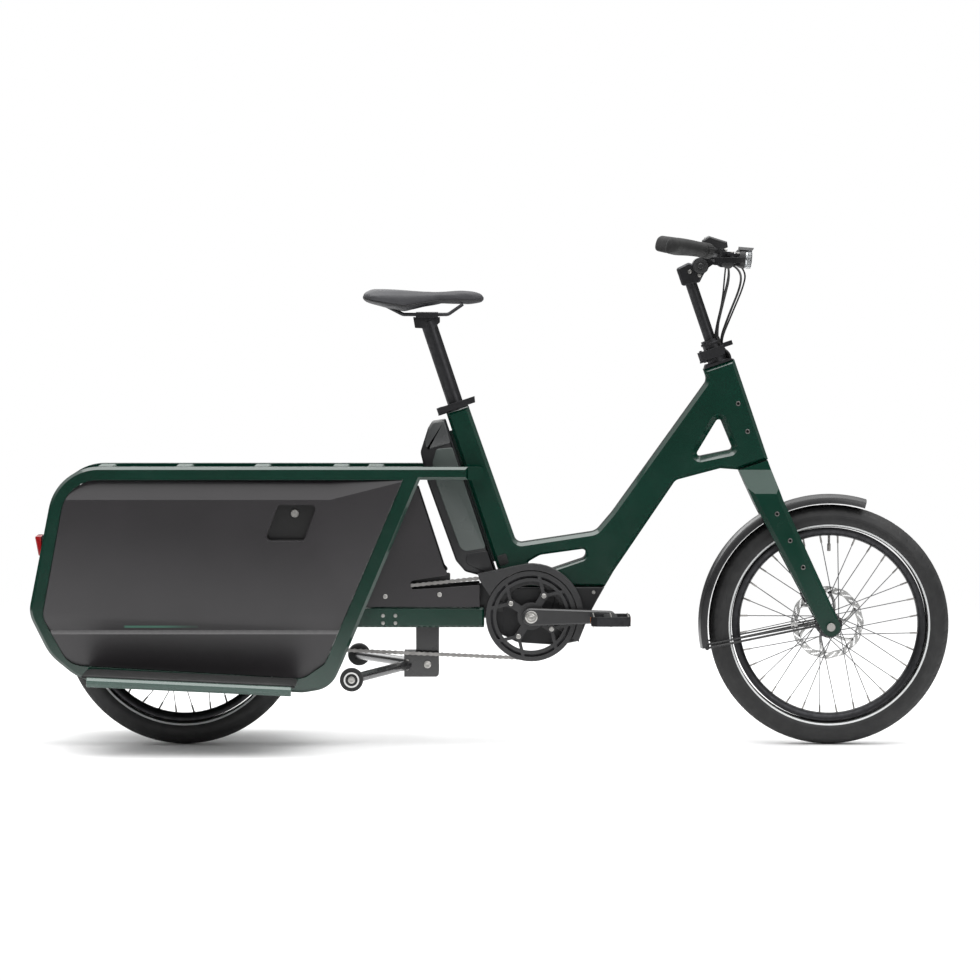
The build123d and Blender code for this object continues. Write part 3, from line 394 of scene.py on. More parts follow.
# -------------------------------------------------------------------------------------- rear frame
# Lower rails, cross tubes, stays and dropouts, welded from box section and plate, in the same coat.
# The hoops with their deck rails are bent chamfered tube. The deck's cross bars are a pale green
# that stands in for the bright reflection on their tops, a painted reflection. Each joint plate and
# skirt is held by socket screws.

softened("rear_frame", green_coat, 1.4)
softened("hoops", green_coat, 1.6)
# Painted reflection: the cross bars' pale green stands in for the bright reflection on their tops.
deck_reflection_coat = powder_coat("deck_pale_coat", (0.22, 0.29, 0.265), (0.26, 0.33, 0.30), 0.24)
softened("cross_bars", deck_reflection_coat, 1.0)

bolt_metal = ground_steel("plated_bolt_steel", (0.50, 0.49, 0.47), 0.24, 0.5)


def turned(profile, place, along=(0, 1, 0), steps=64, closed=True):
    """A profile of (radius, distance) points turned about a line: the ring at angle a is
    place + distance * along + radius * (cos a * n + sin a * b), where n and b square the line."""
    along = np.asarray(along, float) / np.linalg.norm(along)
    lead = np.array([0, 0, 1.0]) if abs(along[2]) < 0.9 else np.array([1.0, 0, 0])
    lead = lead - along * (lead @ along)
    lead = lead / np.linalg.norm(lead)
    across = np.cross(along, lead)
    angle = np.linspace(0, 2 * np.pi, steps, endpoint=False)[:, None, None]
    radius, distance = np.asarray(profile, float).T[:, None, :, None]
    points = place + distance * along + radius * (np.cos(angle) * lead + np.sin(angle) * across)
    return points.reshape(-1, 3), lattice(steps, len(profile), True, closed)


def lattice(rows, columns, wrap_rows=False, wrap_columns=False):
    """Four-sided faces of a grid of points stored row by row."""
    row = np.arange(rows if wrap_rows else rows - 1)[:, None]
    column = np.arange(columns if wrap_columns else columns - 1)[None, :]
    after, beside = (row + 1) % rows, (column + 1) % columns
    corners4 = [row * columns + column, row * columns + beside, after * columns + beside]
    return np.stack(corners4 + [after * columns + column], -1).reshape(-1, 4)


def gathered(shapes):
    """Several (points, faces) shapes as one."""
    points, faces, count = [], [], 0
    for some_points, some_faces in shapes:
        points.append(some_points)
        faces.extend((np.asarray(face) + count).tolist() for face in some_faces)
        count += len(some_points)
    return np.concatenate(points), faces


def build(name, shapes, finish, node, *stands_for, sharp=40.0):
    """One mesh of several (points, faces) shapes, which rides with a CAD node."""
    points, faces = gathered(shapes)
    mesh = bpy.data.meshes.new(name)
    mesh.from_pydata((points / 1000).tolist(), [], faces)
    return dressed(name, mesh, finish, node, *stands_for, sharp=sharp)


def socket_screw(place, out, radius, tall=3.0):
    """Domed screw head with a six-sided socket: a turned head round a six-sided turned well."""
    head_profile = [(0, -1.5), (radius, -1.5), (radius, 0.6 * tall), (0.86 * radius, 0.92 * tall)]
    head_profile += [(0.62 * radius, tall), (0.52 * radius, 0.9 * tall), (0, 0.9 * tall)]
    well = [(0, 0.92 * tall), (0.5 * radius, 0.92 * tall), (0.56 * radius, 1.06 * tall)]
    well += [(0.44 * radius, 1.06 * tall), (0.40 * radius, 0.3 * tall), (0, 0.3 * tall)]
    return [turned(head_profile, place, out, 20), turned(well, place, out, 6)]


def both_sides(place):
    """A place and its mirror image, each with the direction out of the bicycle."""
    return [(place * (1, side, 1), np.array([0.0, side, 0.0])) for side in (-1, 1)]


screws = []
rail_face, skirt_face = 59.0, 60.8
for ahead, up in ((-322, 1), (-295, 1), (-322, -15), (-295, -15)):
    for spot, out in both_sides(crank_axis + (ahead, rail_face, up)):
        screws += socket_screw(spot, out, 4.2, 2.4)
for ahead, up in ((-317, 43), (-199, 47)):
    for spot, out in both_sides(crank_axis + (ahead, skirt_face, up)):
        screws += socket_screw(spot, out, 5.0, 1.6)
build("frame_screws", screws, bolt_metal, "frame_bolts", "frame_bolts")


# --------------------------------------------------------------------------------------- rear lamp
# A moulded red lens clipped over a black base, on its own cross bar behind the wheel. The lens has
# upright ribs inside, and its face leans back.


def rounded(corners2, steps=6):
    """Outline through (x, z, radius) corners, each radius an arc that meets both sides:
    its two ends lie radius * tan(half the turn) from the corner."""
    spots = np.array([c[:2] for c in corners2], float)
    found = []
    for index, corner in enumerate(corners2):
        before = spots[index - 1] - spots[index]
        after = spots[(index + 1) % len(spots)] - spots[index]
        before, after = before / np.linalg.norm(before), after / np.linalg.norm(after)
        radius = corner[2] if len(corner) > 2 else 0
        half = np.arccos(np.clip(before @ after, -1, 1)) / 2
        if radius <= 0 or half > 1.56:
            found.append(spots[index])
            continue
        hub = spots[index] + (before + after) / np.linalg.norm(before + after) * radius / np.sin(half)
        first = spots[index] + before * radius / np.tan(half) - hub
        last = spots[index] + after * radius / np.tan(half) - hub
        swing = np.arctan2(first[0] * last[1] - first[1] * last[0], first @ last)
        turn = np.linspace(0, swing, steps)
        wheel = np.stack([np.cos(turn), -np.sin(turn), np.sin(turn), np.cos(turn)], 1)
        found.extend(hub + wheel.reshape(-1, 2, 2) @ first)
    return np.array(found)


def plate(outline, low, high, edge=1.0):
    """Plate from y = low to y = high with rounded rims: near each face the outline moves in along
    its corner bisectors by edge * (1 - sin t) while y moves by edge * (1 - cos t)."""
    ring = np.asarray(outline, float)
    area = np.sum(ring[:, 0] * np.roll(ring[:, 1], -1) - np.roll(ring[:, 0], -1) * ring[:, 1])
    ring = ring if area > 0 else ring[::-1]
    side = np.roll(ring, -1, 0) - ring
    side = side / np.linalg.norm(side, axis=1, keepdims=True)
    normal = np.stack([-side[:, 1], side[:, 0]], 1)
    bisector = normal + np.roll(normal, 1, 0)
    bisector = bisector / np.maximum(0.5 * np.sum(bisector**2, 1, keepdims=True), 0.35)
    turn = np.linspace(0, np.pi / 2, 4)
    inset = np.concatenate([edge * (1 - np.sin(turn)), edge * (1 - np.sin(turn[::-1]))])
    depth = np.concatenate([low + edge * (1 - np.cos(turn)), high - edge * (1 - np.cos(turn[::-1]))])
    rows = ring[None] + inset[:, None, None] * bisector[None]
    points = np.stack([rows[..., 0], np.repeat(depth[:, None], len(ring), 1), rows[..., 1]], -1)
    faces = lattice(len(depth), len(ring), False, True).tolist()
    last = (len(depth) - 1) * len(ring)
    faces += [list(range(len(ring)))[::-1], list(range(last, last + len(ring)))]
    return points.reshape(-1, 3), faces


lamp_low, lamp_high = corners("rear_light")
lens_top, lens_foot = lamp_low[0], lamp_low[0] + 8
lens_corners = [(lens_foot + 1, lamp_low[2] + 1, 4), (lens_top + 1, lamp_high[2] - 1, 4)]
lens_corners += [(lamp_high[0] - 8, lamp_high[2] - 1, 1), (lamp_high[0] - 8, lamp_low[2] + 1, 1)]
red_lens = Finish("red_lamp_lens")
lens_across = red_lens.along((0, 1, 0)) * 1.6
ribs = lens_across.math("SINE", lens_across)
red_lens.set(Base_Color=red_lens.mix(ribs.ramp(-0.4, 0.9), (0.30, 0.004, 0.006), (0.60, 0.012, 0.012)))
red_lens.set(Roughness=0.08 + 0.05 * red_lens.noise(20), Coat_Weight=0.7, Coat_Roughness=0.03)
red_lens.set(Normal=red_lens.bump(ribs, 0.25))
build("rear_lamp_lens", [plate(rounded(lens_corners), -25.5, 25.5, 2.5)], red_lens, "rear_light",
      "rear_light")


def moulded(name, colour, lighter, rough, grain=0.9, depth=0.02, sheen=0.35, worn=0.08):
    """Moulded plastic: fine spark-eroded grain, slow tone drift, rubbed patches and light dust."""
    plastic = Finish(name)
    grit = plastic.noise(grain, 3)
    rubbed = plastic.noise(60, 4).ramp(0.42, 0.78)
    dust = plastic.facing_up().ramp(0.4, 1.0) * plastic.noise(11, 5).ramp(0.3, 0.8)
    tone = plastic.mix(plastic.noise(170, 2).ramp(0.3, 0.7), colour, lighter)
    plastic.set(Base_Color=plastic.mix(dust * 0.10, tone, (0.30, 0.30, 0.29)))
    plastic.set(Roughness=rough - worn * rubbed + 0.10 * dust + 0.05 * grit)
    plastic.set(Specular_IOR_Level=sheen)
    return plastic.set(Normal=plastic.bump(grit, depth))


black_plastic = moulded("black_moulded_plastic", (0.014, 0.014, 0.015), (0.020, 0.020, 0.021), 0.42)
base_corners = [(lamp_high[0] - 8.5, lamp_low[2], 2), (lamp_high[0] - 8.5, lamp_high[2], 2)]
base_corners += [(lamp_high[0], lamp_high[2], 1), (lamp_high[0], lamp_low[2], 1)]
build("rear_lamp_base", [plate(rounded(base_corners), -26, 26, 1.0)], black_plastic, "rear_light")


# ------------------------------------------------------------------------------------- side panels
# Injection moulded covers that clip into the hoops, satin dark grey, with a pull recess and a key
# lock. Thin plain stripes are printed low down near the back, and the skirts in front are the same
# plastic.


def panel_plastic():
    """Satin grey plastic with a thin green stripe printed above the ledge, and painted shade in the pull
    recess.
    """
    plastic = moulded("panel_plastic", (0.016, 0.0145, 0.016), (0.019, 0.017, 0.019), 0.30, 1.3, 0.012, 0.6,
                      0.02)
    side = plastic.along((1, 0, 0), rear_axle)
    up = plastic.along((0, 0, 1), rear_axle)
    slant = plastic.along((1, 0, -0.372), rear_axle)
    deep = abs(plastic.along((0, 1, 0))).ramp(86.5, 89, 1, 0)
    # Painted shade: surfaces sunk below the panel face in the pull recess are darkened to near black.
    painted_recess_shade = slant.band(109, 192, 2) * up.band(189, 267, 2) * deep
    stripe = side.band(-125, 34, 3) * up.band(-0.6, 4.2, 0.4)
    tone = Wire(plastic, plastic.shader.inputs["Base Color"].links[0].from_socket)
    tone = plastic.mix(stripe * side.ramp(-60, 34, 0.9, 0.15), tone, (0.045, 0.16, 0.11))
    return plastic.set(Base_Color=plastic.mix(painted_recess_shade * 0.85, tone, (0.003, 0.003, 0.003)))


satin_grey = panel_plastic()
softened("side_panels", satin_grey, 1.2, 20.0)
softened("skirts", satin_grey, 0.6)
slot_low = crank_axis[[0, 2]] + (-268, 50)
slot_back = [(*(slot_low + spot), 4) for spot in ((0, 0), (92, 4), (92, 44), (0, 31))]
build("chain_slot_backing", [plate(rounded(slot_back), -41, -38.5, 0.6)], black_plastic, "skirts")
web = [(*(crank_axis[[0, 2]] + spot), 4) for spot in ((-116, 8), (-60, 8), (-60, 76), (-116, 70))]
build("motor_web", [plate(rounded(web), -36.4, -34.4, 0.6)], black_plastic, "motor")


def lock_face(node):
    """Round key lock: a turned barrel with a ring, and a slot for the key."""
    low, high = corners(node)
    side = np.sign(low[1] + high[1])
    face_y = side * max(abs(low[1]), abs(high[1]))
    spot = np.array([(low[0] + high[0]) / 2, face_y, low[2] + 9.0])
    out = np.array([0.0, side, 0.0])
    barrel = [(0, -12), (9, -12), (9, -0.8), (8.2, 0), (7.2, 0), (6.8, -0.7), (0, -0.7)]
    slot_low = spot + (-0.9, 0, -3.4)
    slot = [(slot_low[0], slot_low[2]), (slot_low[0] + 1.8, slot_low[2])]
    slot += [(slot_low[0] + 1.8, slot_low[2] + 6.8), (slot_low[0], slot_low[2] + 6.8)]
    reach = sorted((face_y - side * 0.9, face_y - side * 0.3))
    return [turned(barrel, spot, out, 40), plate(np.array(slot), *reach, 0.2)]


for lock in ("panel_lock_right", "panel_lock_left"):
    build(lock + "_barrel", lock_face(lock), bolt_metal, lock, lock)


# -------------------------------------------------------------------------------------- footboards
# Each board is a ribbed black grip tread lying on a green painted tube and three cross tubes, on
# which the passenger's feet rest. The tread's ribs run lengthwise.

board_coat = powder_coat("footboard_coat", (0.026, 0.060, 0.048), (0.032, 0.070, 0.056), 0.24)
softened("footboard_frames", board_coat, 1.2)


def rubber(name, colour, lighter, rough, size=0.7, depth=0.03):
    """Soft rubber: fine grain, worn lighter in soft patches."""
    skin = Finish(name)
    grit = skin.noise(size, 3)
    worn = skin.noise(38, 4).ramp(0.4, 0.75)
    skin.set(Base_Color=skin.mix(worn * 0.6 + grit * 0.2, colour, lighter))
    skin.set(Roughness=rough + 0.10 * grit - 0.08 * worn, Specular_IOR_Level=0.35)
    return skin.set(Normal=skin.bump(grit, depth))


grip_rubber = rubber("black_grip_rubber", (0.011, 0.011, 0.011), (0.022, 0.022, 0.022), 0.58)
tread_low, tread_high = corners("footboard_treads")
tread_fall = 22 / 470
tread_thick = 7.0


def ribbed_board(side):
    """Board whose top rises by rib * |cos(pi y / pitch)| over its width, sloping down forwards."""
    inner, outer = 96.0, tread_high[1]
    across = np.linspace(inner, outer, 151)
    ends = np.clip(np.minimum(across - inner, outer - across) / 5.0, 0, 1)
    rise = -3.2 + 3.2 * ends * np.abs(np.cos(np.pi * (across - inner) / 9.0)) ** 0.4
    along = np.linspace(tread_low[0], tread_high[0], 40)
    top = tread_high[2] - (along - along[0]) * tread_fall
    lip = np.clip(np.minimum(along - along[0], along[-1] - along) / 8.0, 0, 1) ** 0.5
    upper = top[:, None] - 2.4 + (rise[None, :] + 2.4) * lip[:, None]
    x = np.repeat(along[:, None], len(across), 1)
    y = np.repeat(side * across[None, :], len(along), 0)
    lower = np.repeat((top - tread_thick)[:, None], len(across), 1)
    sheet = np.stack([x, y, upper], -1)
    under = np.stack([x, y, lower], -1)[:, ::-1]
    loop = np.concatenate([sheet, under], 1)
    faces = lattice(len(along), loop.shape[1], False, True).tolist()
    count = loop.shape[1]
    last = (len(along) - 1) * count
    half = count // 2
    for start in (0, last):
        pairs = [(start + k, start + k + 1, start + count - 2 - k, start + count - 1 - k)
                 for k in range(half - 1)]
        faces += [list(p) for p in pairs]
    return loop.reshape(-1, 3), faces


build("ribbed_treads", [ribbed_board(-1), ribbed_board(1)], grip_rubber, "footboard_treads",
      "footboard_treads")


# --------------------------------------------------------------------------- motor and chain cover
# The mid motor's cast housing is bolted under the frame behind a black trim, and a moulded cover
# wraps the front of the chain ring. A rubber flap closes the charging socket in the seat tube.

cast_black = moulded("cast_black_housing", (0.010, 0.010, 0.011), (0.016, 0.016, 0.017), 0.40, 1.8, 0.05)
softened("motor", cast_black, 1.6)
satin_black = moulded("satin_black_cover", (0.022, 0.022, 0.023), (0.030, 0.030, 0.031), 0.30, 1.1, 0.012,
                      0.5)
softened("chain_shroud", satin_black, 1.0)

cover_face = -37.0
bracket_spot = crank_axis + (0, cover_face, 0)
screws = []
for ahead, up in ((136, 50), (70, 50), (100, -48), (118, 2)):
    screws += socket_screw(bracket_spot + (ahead, 0, up), np.array([0.0, -1, 0]), 4.0, 2.2)
build("motor_screws", screws, bolt_metal, "motor")

flap_corners = [(c[0], c[2], 4) for c in (seat(330, -20), seat(330, 1), seat(352, 1), seat(352, -20))]
build("charge_flap", [plate(rounded(flap_corners), -33.5, -30, 1.0)], grip_rubber, "main_frame")


# ----------------------------------------------------------------------------------------- battery
# A removable pack on the back of the seat tube: two moulded half shells under a light grey top cap
# with a handle edge, greenish grey side faces let into a black rear shell, and a dark foot.

shell_black = moulded("battery_black_shell", (0.012, 0.012, 0.013), (0.018, 0.018, 0.019), 0.36, 1.2, 0.015)
face_grey = moulded("battery_face_grey", (0.050, 0.062, 0.058), (0.060, 0.073, 0.068), 0.30, 1.1, 0.010, 0.5)
cap_grey = moulded("battery_cap_grey", (0.045, 0.047, 0.048), (0.055, 0.057, 0.058), 0.26, 1.1, 0.010, 0.6)


def battery_plate(corners3, low, high, edge):
    """Plate from (down the tube, ahead of it, radius) corners."""
    spots = [(seat(c[0], c[1]), c[2]) for c in corners3]
    return plate(rounded([(p[0], p[2], r) for p, r in spots]), low, high, edge)


pack_half = corners("battery_case")[1][1]
shell = [(12.5, -31.5, 3), (7.5, -60, 9), (19.5, -74.5, 9), (62, -105.5, 20), (130, -111.5, 30),
         (311, -107.5, 20)]
shell += [(340, -95.5, 14), (362, -62, 6), (368, -31.5, 2)]
face = [(74, -36, 4), (66, -70, 8), (92, -88, 16), (140, -94, 26), (296, -90, 18), (306, -36, 6)]
foot = [(311, -36, 4), (301, -88, 14), (326, -86, 12), (352, -58, 8), (360, -36, 4)]
cap = [(13, -34, 3), (9, -59, 9), (20.5, -72.5, 9), (52, -94, 16), (62, -86, 10), (64, -36, 4)]
build("battery_shell", [battery_plate(shell, 2 - pack_half, pack_half - 2, 6)], shell_black,
      "battery_case", "battery_case")
sides = [battery_plate(face, -pack_half, 10 - pack_half, 2.2),
         battery_plate(face, pack_half - 10, pack_half, 2.2)]
build("battery_faces", sides, face_grey, "battery_case")
sides = [battery_plate(foot, -pack_half, 10 - pack_half, 2),
         battery_plate(foot, pack_half - 10, pack_half, 2)]
build("battery_foot", sides, shell_black, "battery_case")
build("battery_cap", [battery_plate(cap, -pack_half, pack_half, 3)], cap_grey, "battery_case")


# ----------------------------------------------------------------------------------------- fenders
# Both mudguards are rolled from black plastic laminate: a shallow arch in section with a turned
# down lip along each side. The front one hangs from the fork on two black wire stays, and the rear
# one from the deck.

arch_lift, lip_drop = 6.0, 11.0


def mudguard(centre, outer, start, end, half_width, lip=1.0):
    """Arch carried round a wheel: at angle a and share t from -1 to 1 of its width, the radius is
    outer - lift * t^2 - drop * smooth(|t| from 0.86 to 1), for the upper and the lower skin."""
    angle = np.radians(np.linspace(start, end, 121))
    share = np.concatenate([np.linspace(-1, -0.86, 7), np.linspace(-0.8, 0.8, 17), np.linspace(0.86, 1, 7)])
    fold = np.clip((np.abs(share) - 0.86) / 0.14, 0, 1)
    fall = arch_lift * share**2 + lip * lip_drop * fold**2
    across = half_width * np.clip(np.abs(share), 0, 1) ** (1 - 0.25 * fold) * np.sign(share)
    skins = []
    for thick in (0.0, 2.0):
        radius = outer - fall - thick
        spread = across * (1 - 0.035 * (thick > 0))
        x = centre[0] + radius * np.cos(angle)[:, None]
        z = centre[2] + radius * np.sin(angle)[:, None]
        skins.append(np.stack([x, np.repeat(spread[None], len(angle), 0), z], -1))
    loop = np.concatenate([skins[0], skins[1][:, ::-1]], 1)
    count = loop.shape[1]
    faces = lattice(len(angle), count, False, True).tolist()
    for first in (0, (len(angle) - 1) * count):
        faces += [[first + k, first + k + 1, first + count - 2 - k, first + count - 1 - k]
                  for k in range(count // 2 - 1)]
    return loop.reshape(-1, 3), faces


def rod(path, radius, sides=12):
    """Round rod along points: the ring at point k is p + r * (cos a * n + sin a * b). The normal n
    is the least used direction of the path made square to it there, so that the rod never twists."""
    path = np.asarray(path, float)
    heading = np.gradient(path, axis=0)
    heading = heading / np.linalg.norm(heading, axis=1, keepdims=True)
    least = np.linalg.svd(heading, full_matrices=True)[2][-1]
    normal = least - heading * (heading @ least)[:, None]
    normal = normal / np.linalg.norm(normal, axis=1, keepdims=True)
    across = np.cross(heading, normal)
    angle = np.linspace(0, 2 * np.pi, sides, endpoint=False)[None, :, None]
    reach = np.broadcast_to(np.asarray(radius, float), len(path))[:, None, None]
    rings = path[:, None] + reach * (np.cos(angle) * normal[:, None] + np.sin(angle) * across[:, None])
    faces = lattice(len(path), sides, False, True).tolist()
    last = (len(path) - 1) * sides
    faces += [list(range(sides))[::-1], list(range(last, last + sides))]
    return rings.reshape(-1, 3), faces


fender_plastic = moulded("black_fender_laminate", (0.013, 0.013, 0.014), (0.019, 0.019, 0.020), 0.28, 2.2,
                         0.01, 0.5)
fender_r = wheel_r + 23
guard_front = mudguard(front_axle, fender_r, 73.5, 190.5, 36)
stay_top = front_axle + (fender_r - 8) * np.array([np.cos(np.radians(189.9)), 0, np.sin(np.radians(189.9))])
stays = []
for side in (-1, 1):
    top = stay_top + (6, 37 * side, -2)
    low_end = front_axle + (-16, 47 * side, 3)
    stays.append(rod([top, top * 0.94 + low_end * 0.06, top * 0.06 + low_end * 0.94, low_end], 2.5))
    stays.append(rod([top + (0, 0, 9), top * 0.94 + low_end * 0.06 + (0, 0, 8), low_end + (0, 0, 5)], 1.8))
    stays += socket_screw(top + (0, 0.5 * side, 0), np.array([0, side, 0.0]), 4.5, 2.6)
bracket_turn = np.radians(75.5)
tip = front_axle + (fender_r - 6) * np.array([np.cos(bracket_turn), 0, np.sin(bracket_turn)])
clip = rounded([(tip[0] - 9, tip[2] - 10, 3), (tip[0] + 8, tip[2] - 12, 3), (tip[0] + 9, tip[2] + 3, 3),
                (tip[0] - 9, tip[2] + 6, 3)])
build("front_mudguard", [guard_front, *stays, plate(clip, -12, 12, 1)], fender_plastic, "front_fender",
      "front_fender")
build("rear_mudguard", [mudguard(rear_axle, fender_r, -8, 170, 36)], fender_plastic, "rear_fender",
      "rear_fender")


# ------------------------------------------------------------------------------------------ wheels
# 20-inch wheels. Each has a moulded tyre with a block tread and a white reflective stripe, a black
# anodised rim of drawn section, crossed wire spokes with brass nipples, and a turned hub with a
# punched steel brake disc on its left.


def tyre_shape(centre):
    """Torus of radius mid + w cos v, whose crown (|v| under 62 degrees) stands proud in blocks:
    height = blocks where |sin| of two slanted waves in (angle, v) is over a groove's share."""
    half_width = 29.0
    middle_r = wheel_r - 30.0
    turn = np.linspace(0, 2 * np.pi, 768, endpoint=False)[:, None]
    bead = np.radians(128)
    section = np.linspace(-bead, bead, 61)[None, :]
    crown = 1 / (1 + np.exp((np.abs(section) - np.radians(56)) / 0.035))
    pitch = 64
    slant = np.abs(np.sin(pitch / 2 * turn + 2.2 * np.abs(section)))
    centre_line = np.abs(np.abs(section) - np.radians(21)) > np.radians(2.6)
    blocks = (slant > 0.2) * centre_line
    sipes = np.abs(np.sin(pitch * turn + 5.0 * section)) > 0.22
    rise = crown * (0.25 + 0.75 * blocks - 0.16 * (1 - sipes))
    wall_ring = 0.35 * np.exp(-((np.abs(section) - np.radians(74)) / 0.03) ** 2)
    reach = half_width + 1.0 * rise + wall_ring
    radius = middle_r + reach * np.cos(section)
    x = centre[0] + radius * np.cos(turn)
    y = centre[1] + reach * np.sin(section) + 0 * turn
    z = centre[2] + radius * np.sin(turn)
    return np.stack([x, y, z], -1).reshape(-1, 3), lattice(768, 61, True, False)


def tyre_rubber(name, centre):
    """Black rubber, chalky on the crown, with a white reflective stripe ring beside the rim."""
    skin = Finish(name)
    radius = skin.reach(centre)
    grit = skin.noise(0.8, 3)
    worn = skin.noise(26, 5).ramp(0.35, 0.75)
    crown = radius.ramp(wheel_r - 14, wheel_r - 2)
    moulding = radius.math("SINE", radius * 1.5) * radius.band(wheel_r - 31, wheel_r - 22, 1.0)
    black = skin.mix(worn * 0.5 + crown * 0.35, (0.009, 0.009, 0.0095), (0.024, 0.024, 0.024))
    stripe = radius.band(wheel_r - 46.0, wheel_r - 42.4, 0.25)
    skin.set(Base_Color=skin.mix(stripe, black, (0.55, 0.56, 0.56)))
    skin.set(Roughness=0.46 + 0.22 * crown + 0.08 * grit - 0.10 * stripe, Specular_IOR_Level=0.4)
    return skin.set(Normal=skin.bump(grit * 0.4 + moulding * 0.5, 0.12))


def spoke_set(centre, flange_r, flange_y, ends_y):
    """Crossed spokes: from each flange, hole n at turn +- 52 degrees runs to the rim at turn."""
    per_side, foot_r = 16, wheel_r - 51 - 18
    wires, nipples = [], []
    for side in (-1, 1):
        for number in range(per_side):
            turn = np.radians(360 / per_side * (number + 0.25 * side))
            lean = 1 if number % 2 else -1
            start = turn + lean * np.radians(52)
            inner = centre + (flange_r * np.cos(start), side * flange_y + lean * 2.4,
                              flange_r * np.sin(start))
            outer = centre + (foot_r * np.cos(turn), side * ends_y, foot_r * np.sin(turn))
            heading = (outer - inner) / np.linalg.norm(outer - inner)
            elbow = inner + (0, -lean * 2.2, 0)
            wires.append(rod([elbow, inner, outer], 1.0, 6))
            sleeve = [(0, -15), (1.7, -15), (2.0, -14), (2.0, 0), (2.9, 1.5), (2.9, 4), (0, 4)]
            nipples.append(turned(sleeve, outer, heading, 8))
            nipples.append(turned([(0, -1), (2, -1), (2.2, 0), (1.2, 1.2), (0, 1.2)], inner, (0, lean, 0), 8))
    return wires, nipples


rim_black = ground_steel("black_anodised_rim", (0.045, 0.045, 0.048), 0.30, 0.5, 0.006)
wire_black = ground_steel("black_spoke_wire", (0.16, 0.16, 0.165), 0.30, 0.6)
nipple_metal = ground_steel("nipple_metal", (0.30, 0.29, 0.28), 0.30, 0.4)
anodised = ground_steel("black_anodised_alloy", (0.050, 0.050, 0.053), 0.34, 0.35, 0.012)
disc_steel = ground_steel("brake_disc_steel", (0.60, 0.60, 0.59), 0.22, 0.7)


def rim_shape(centre):
    """Box section rim: hooked flanges, a bed, slanted sides and a rounded inner wall."""
    bead_r = wheel_r - 51.0
    profile = [(bead_r - 9, 12.6), (bead_r - 0.5, 12.8), (bead_r, 13.6), (bead_r - 0.2, 15.0)]
    profile += [(bead_r - 3, 15.6), (bead_r - 9, 14.4), (bead_r - 13.5, 11.6), (bead_r - 16.4, 6.0)]
    profile += [(bead_r - 17.2, 0)]
    profile += [(r, -y) for r, y in profile[-2::-1]]
    return turned(profile, centre, (0, 1, 0), 192)


def valve(centre):
    """Valve stem with its cap at the top of the rim, and the lock nut at its foot."""
    foot = centre + (0, 0, wheel_r - 68.0)
    stem_profile = [(0, -34), (3.4, -34), (3.8, -32), (3.8, -18), (2.6, -17), (2.6, 0), (5.5, 0), (5.5, 3),
                    (0, 3)]
    return turned(stem_profile, foot, (0, 0, 1), 16)


def punched_disc(centre, y, outer_r, node_band):
    """Disc of angle-radius cells with every hole cell left out, closed to a plate of two faces: the
    braking band's outer edge waves by 1.2 mm, and slots lie where (ring + column) mod 6 is low."""
    columns = 240
    radii = np.concatenate([[outer_r - node_band], np.linspace(outer_r - node_band + 3, outer_r - 3, 5),
                            [outer_r]])
    turn = np.linspace(0, 2 * np.pi, columns, endpoint=False)
    wave = np.zeros(len(radii))[:, None] + 0 * turn
    wave[-1] = -0.9 + 0.9 * np.cos(12 * turn)
    wave[0] = 1.2 * np.cos(12 * turn)
    reach = radii[:, None] + wave
    count = len(radii) * columns
    flat = [centre[0] + reach * np.cos(turn), centre[2] + reach * np.sin(turn)]
    skins = [np.stack([flat[0], np.full_like(reach, y + s * 0.9), flat[1]], -1).reshape(-1, 3)
             for s in (-1, 1)]
    keep = np.ones((len(radii) - 1, columns), bool)
    ring, column = np.indices(keep.shape)
    keep[(ring > 0) & (ring < len(radii) - 2) & ((column + 2 * ring) % 10 < 3)] = False
    quads = lattice(len(radii), columns, False, True).reshape(len(radii) - 1, columns, 4)
    top = quads[keep]
    faces = top.tolist() + (top[:, ::-1] + count).tolist()
    edges = np.concatenate([top[:, [k, (k + 1) % 4]] for k in range(4)])
    code = edges[:, 0] * count + edges[:, 1]
    open_edges = edges[~np.isin(code, edges[:, 1] * count + edges[:, 0])]
    walls = np.stack([open_edges[:, 1], open_edges[:, 0], open_edges[:, 0] + count,
                      open_edges[:, 1] + count], 1)
    return np.concatenate(skins), faces + walls.tolist()


def disc_arms(centre, y, hub_r, reach, body):
    """Six swept arms from the hub to the braking band, with a screw at each inner end."""
    shapes = [turned([(12.5, -1), (hub_r, -1), (hub_r, 1), (12.5, 1)], centre + (0, y, 0), (0, 1, 0), 48)]
    for number in range(6):
        start = np.radians(60 * number)
        end = start + np.radians(28)
        share = np.linspace(0, 1, 7)
        angle = start + (end - start) * share**1.4
        radius = hub_r - 3 + (reach - hub_r + 4) * share
        line = np.stack([centre[0] + radius * np.cos(angle), centre[2] + radius * np.sin(angle)], 1)
        way = np.gradient(line, axis=0)
        side = np.stack([-way[:, 1], way[:, 0]], 1) / np.linalg.norm(way, axis=1, keepdims=True) * 3.4
        shapes.append(plate(np.concatenate([line + side, (line - side)[::-1]]), y - 0.9, y + 0.9, 0.15))
        spot = centre + ((hub_r - 5) * np.cos(start), y, (hub_r - 5) * np.sin(start))
        body += socket_screw(spot + (0, 0.9, 0), np.array([0, 1.0, 0]), 3.6, 2.0)
    return shapes


def hub_shape(centre, half_width, flange_r, flange_y, body_r):
    """Turned hub: end cones, two dished flanges and a waisted barrel between."""
    side = [(6.2, half_width), (10.5, half_width), (12, half_width - 1.5), (12, flange_y + 4)]
    side += [(flange_r - 4, flange_y + 2.5), (flange_r + 3.2, flange_y + 1.8), (flange_r + 4, flange_y + 1)]
    side += [(flange_r + 4, flange_y - 1), (flange_r + 3, flange_y - 1.8), (flange_r - 6, flange_y - 2.4)]
    side += [(body_r + 1.5, flange_y - 4), (body_r, flange_y - 9), (body_r - 0.8, 0)]
    profile = side + [(r, -y) for r, y in side[-2::-1]]
    return turned(profile, centre, (0, 1, 0), 96)


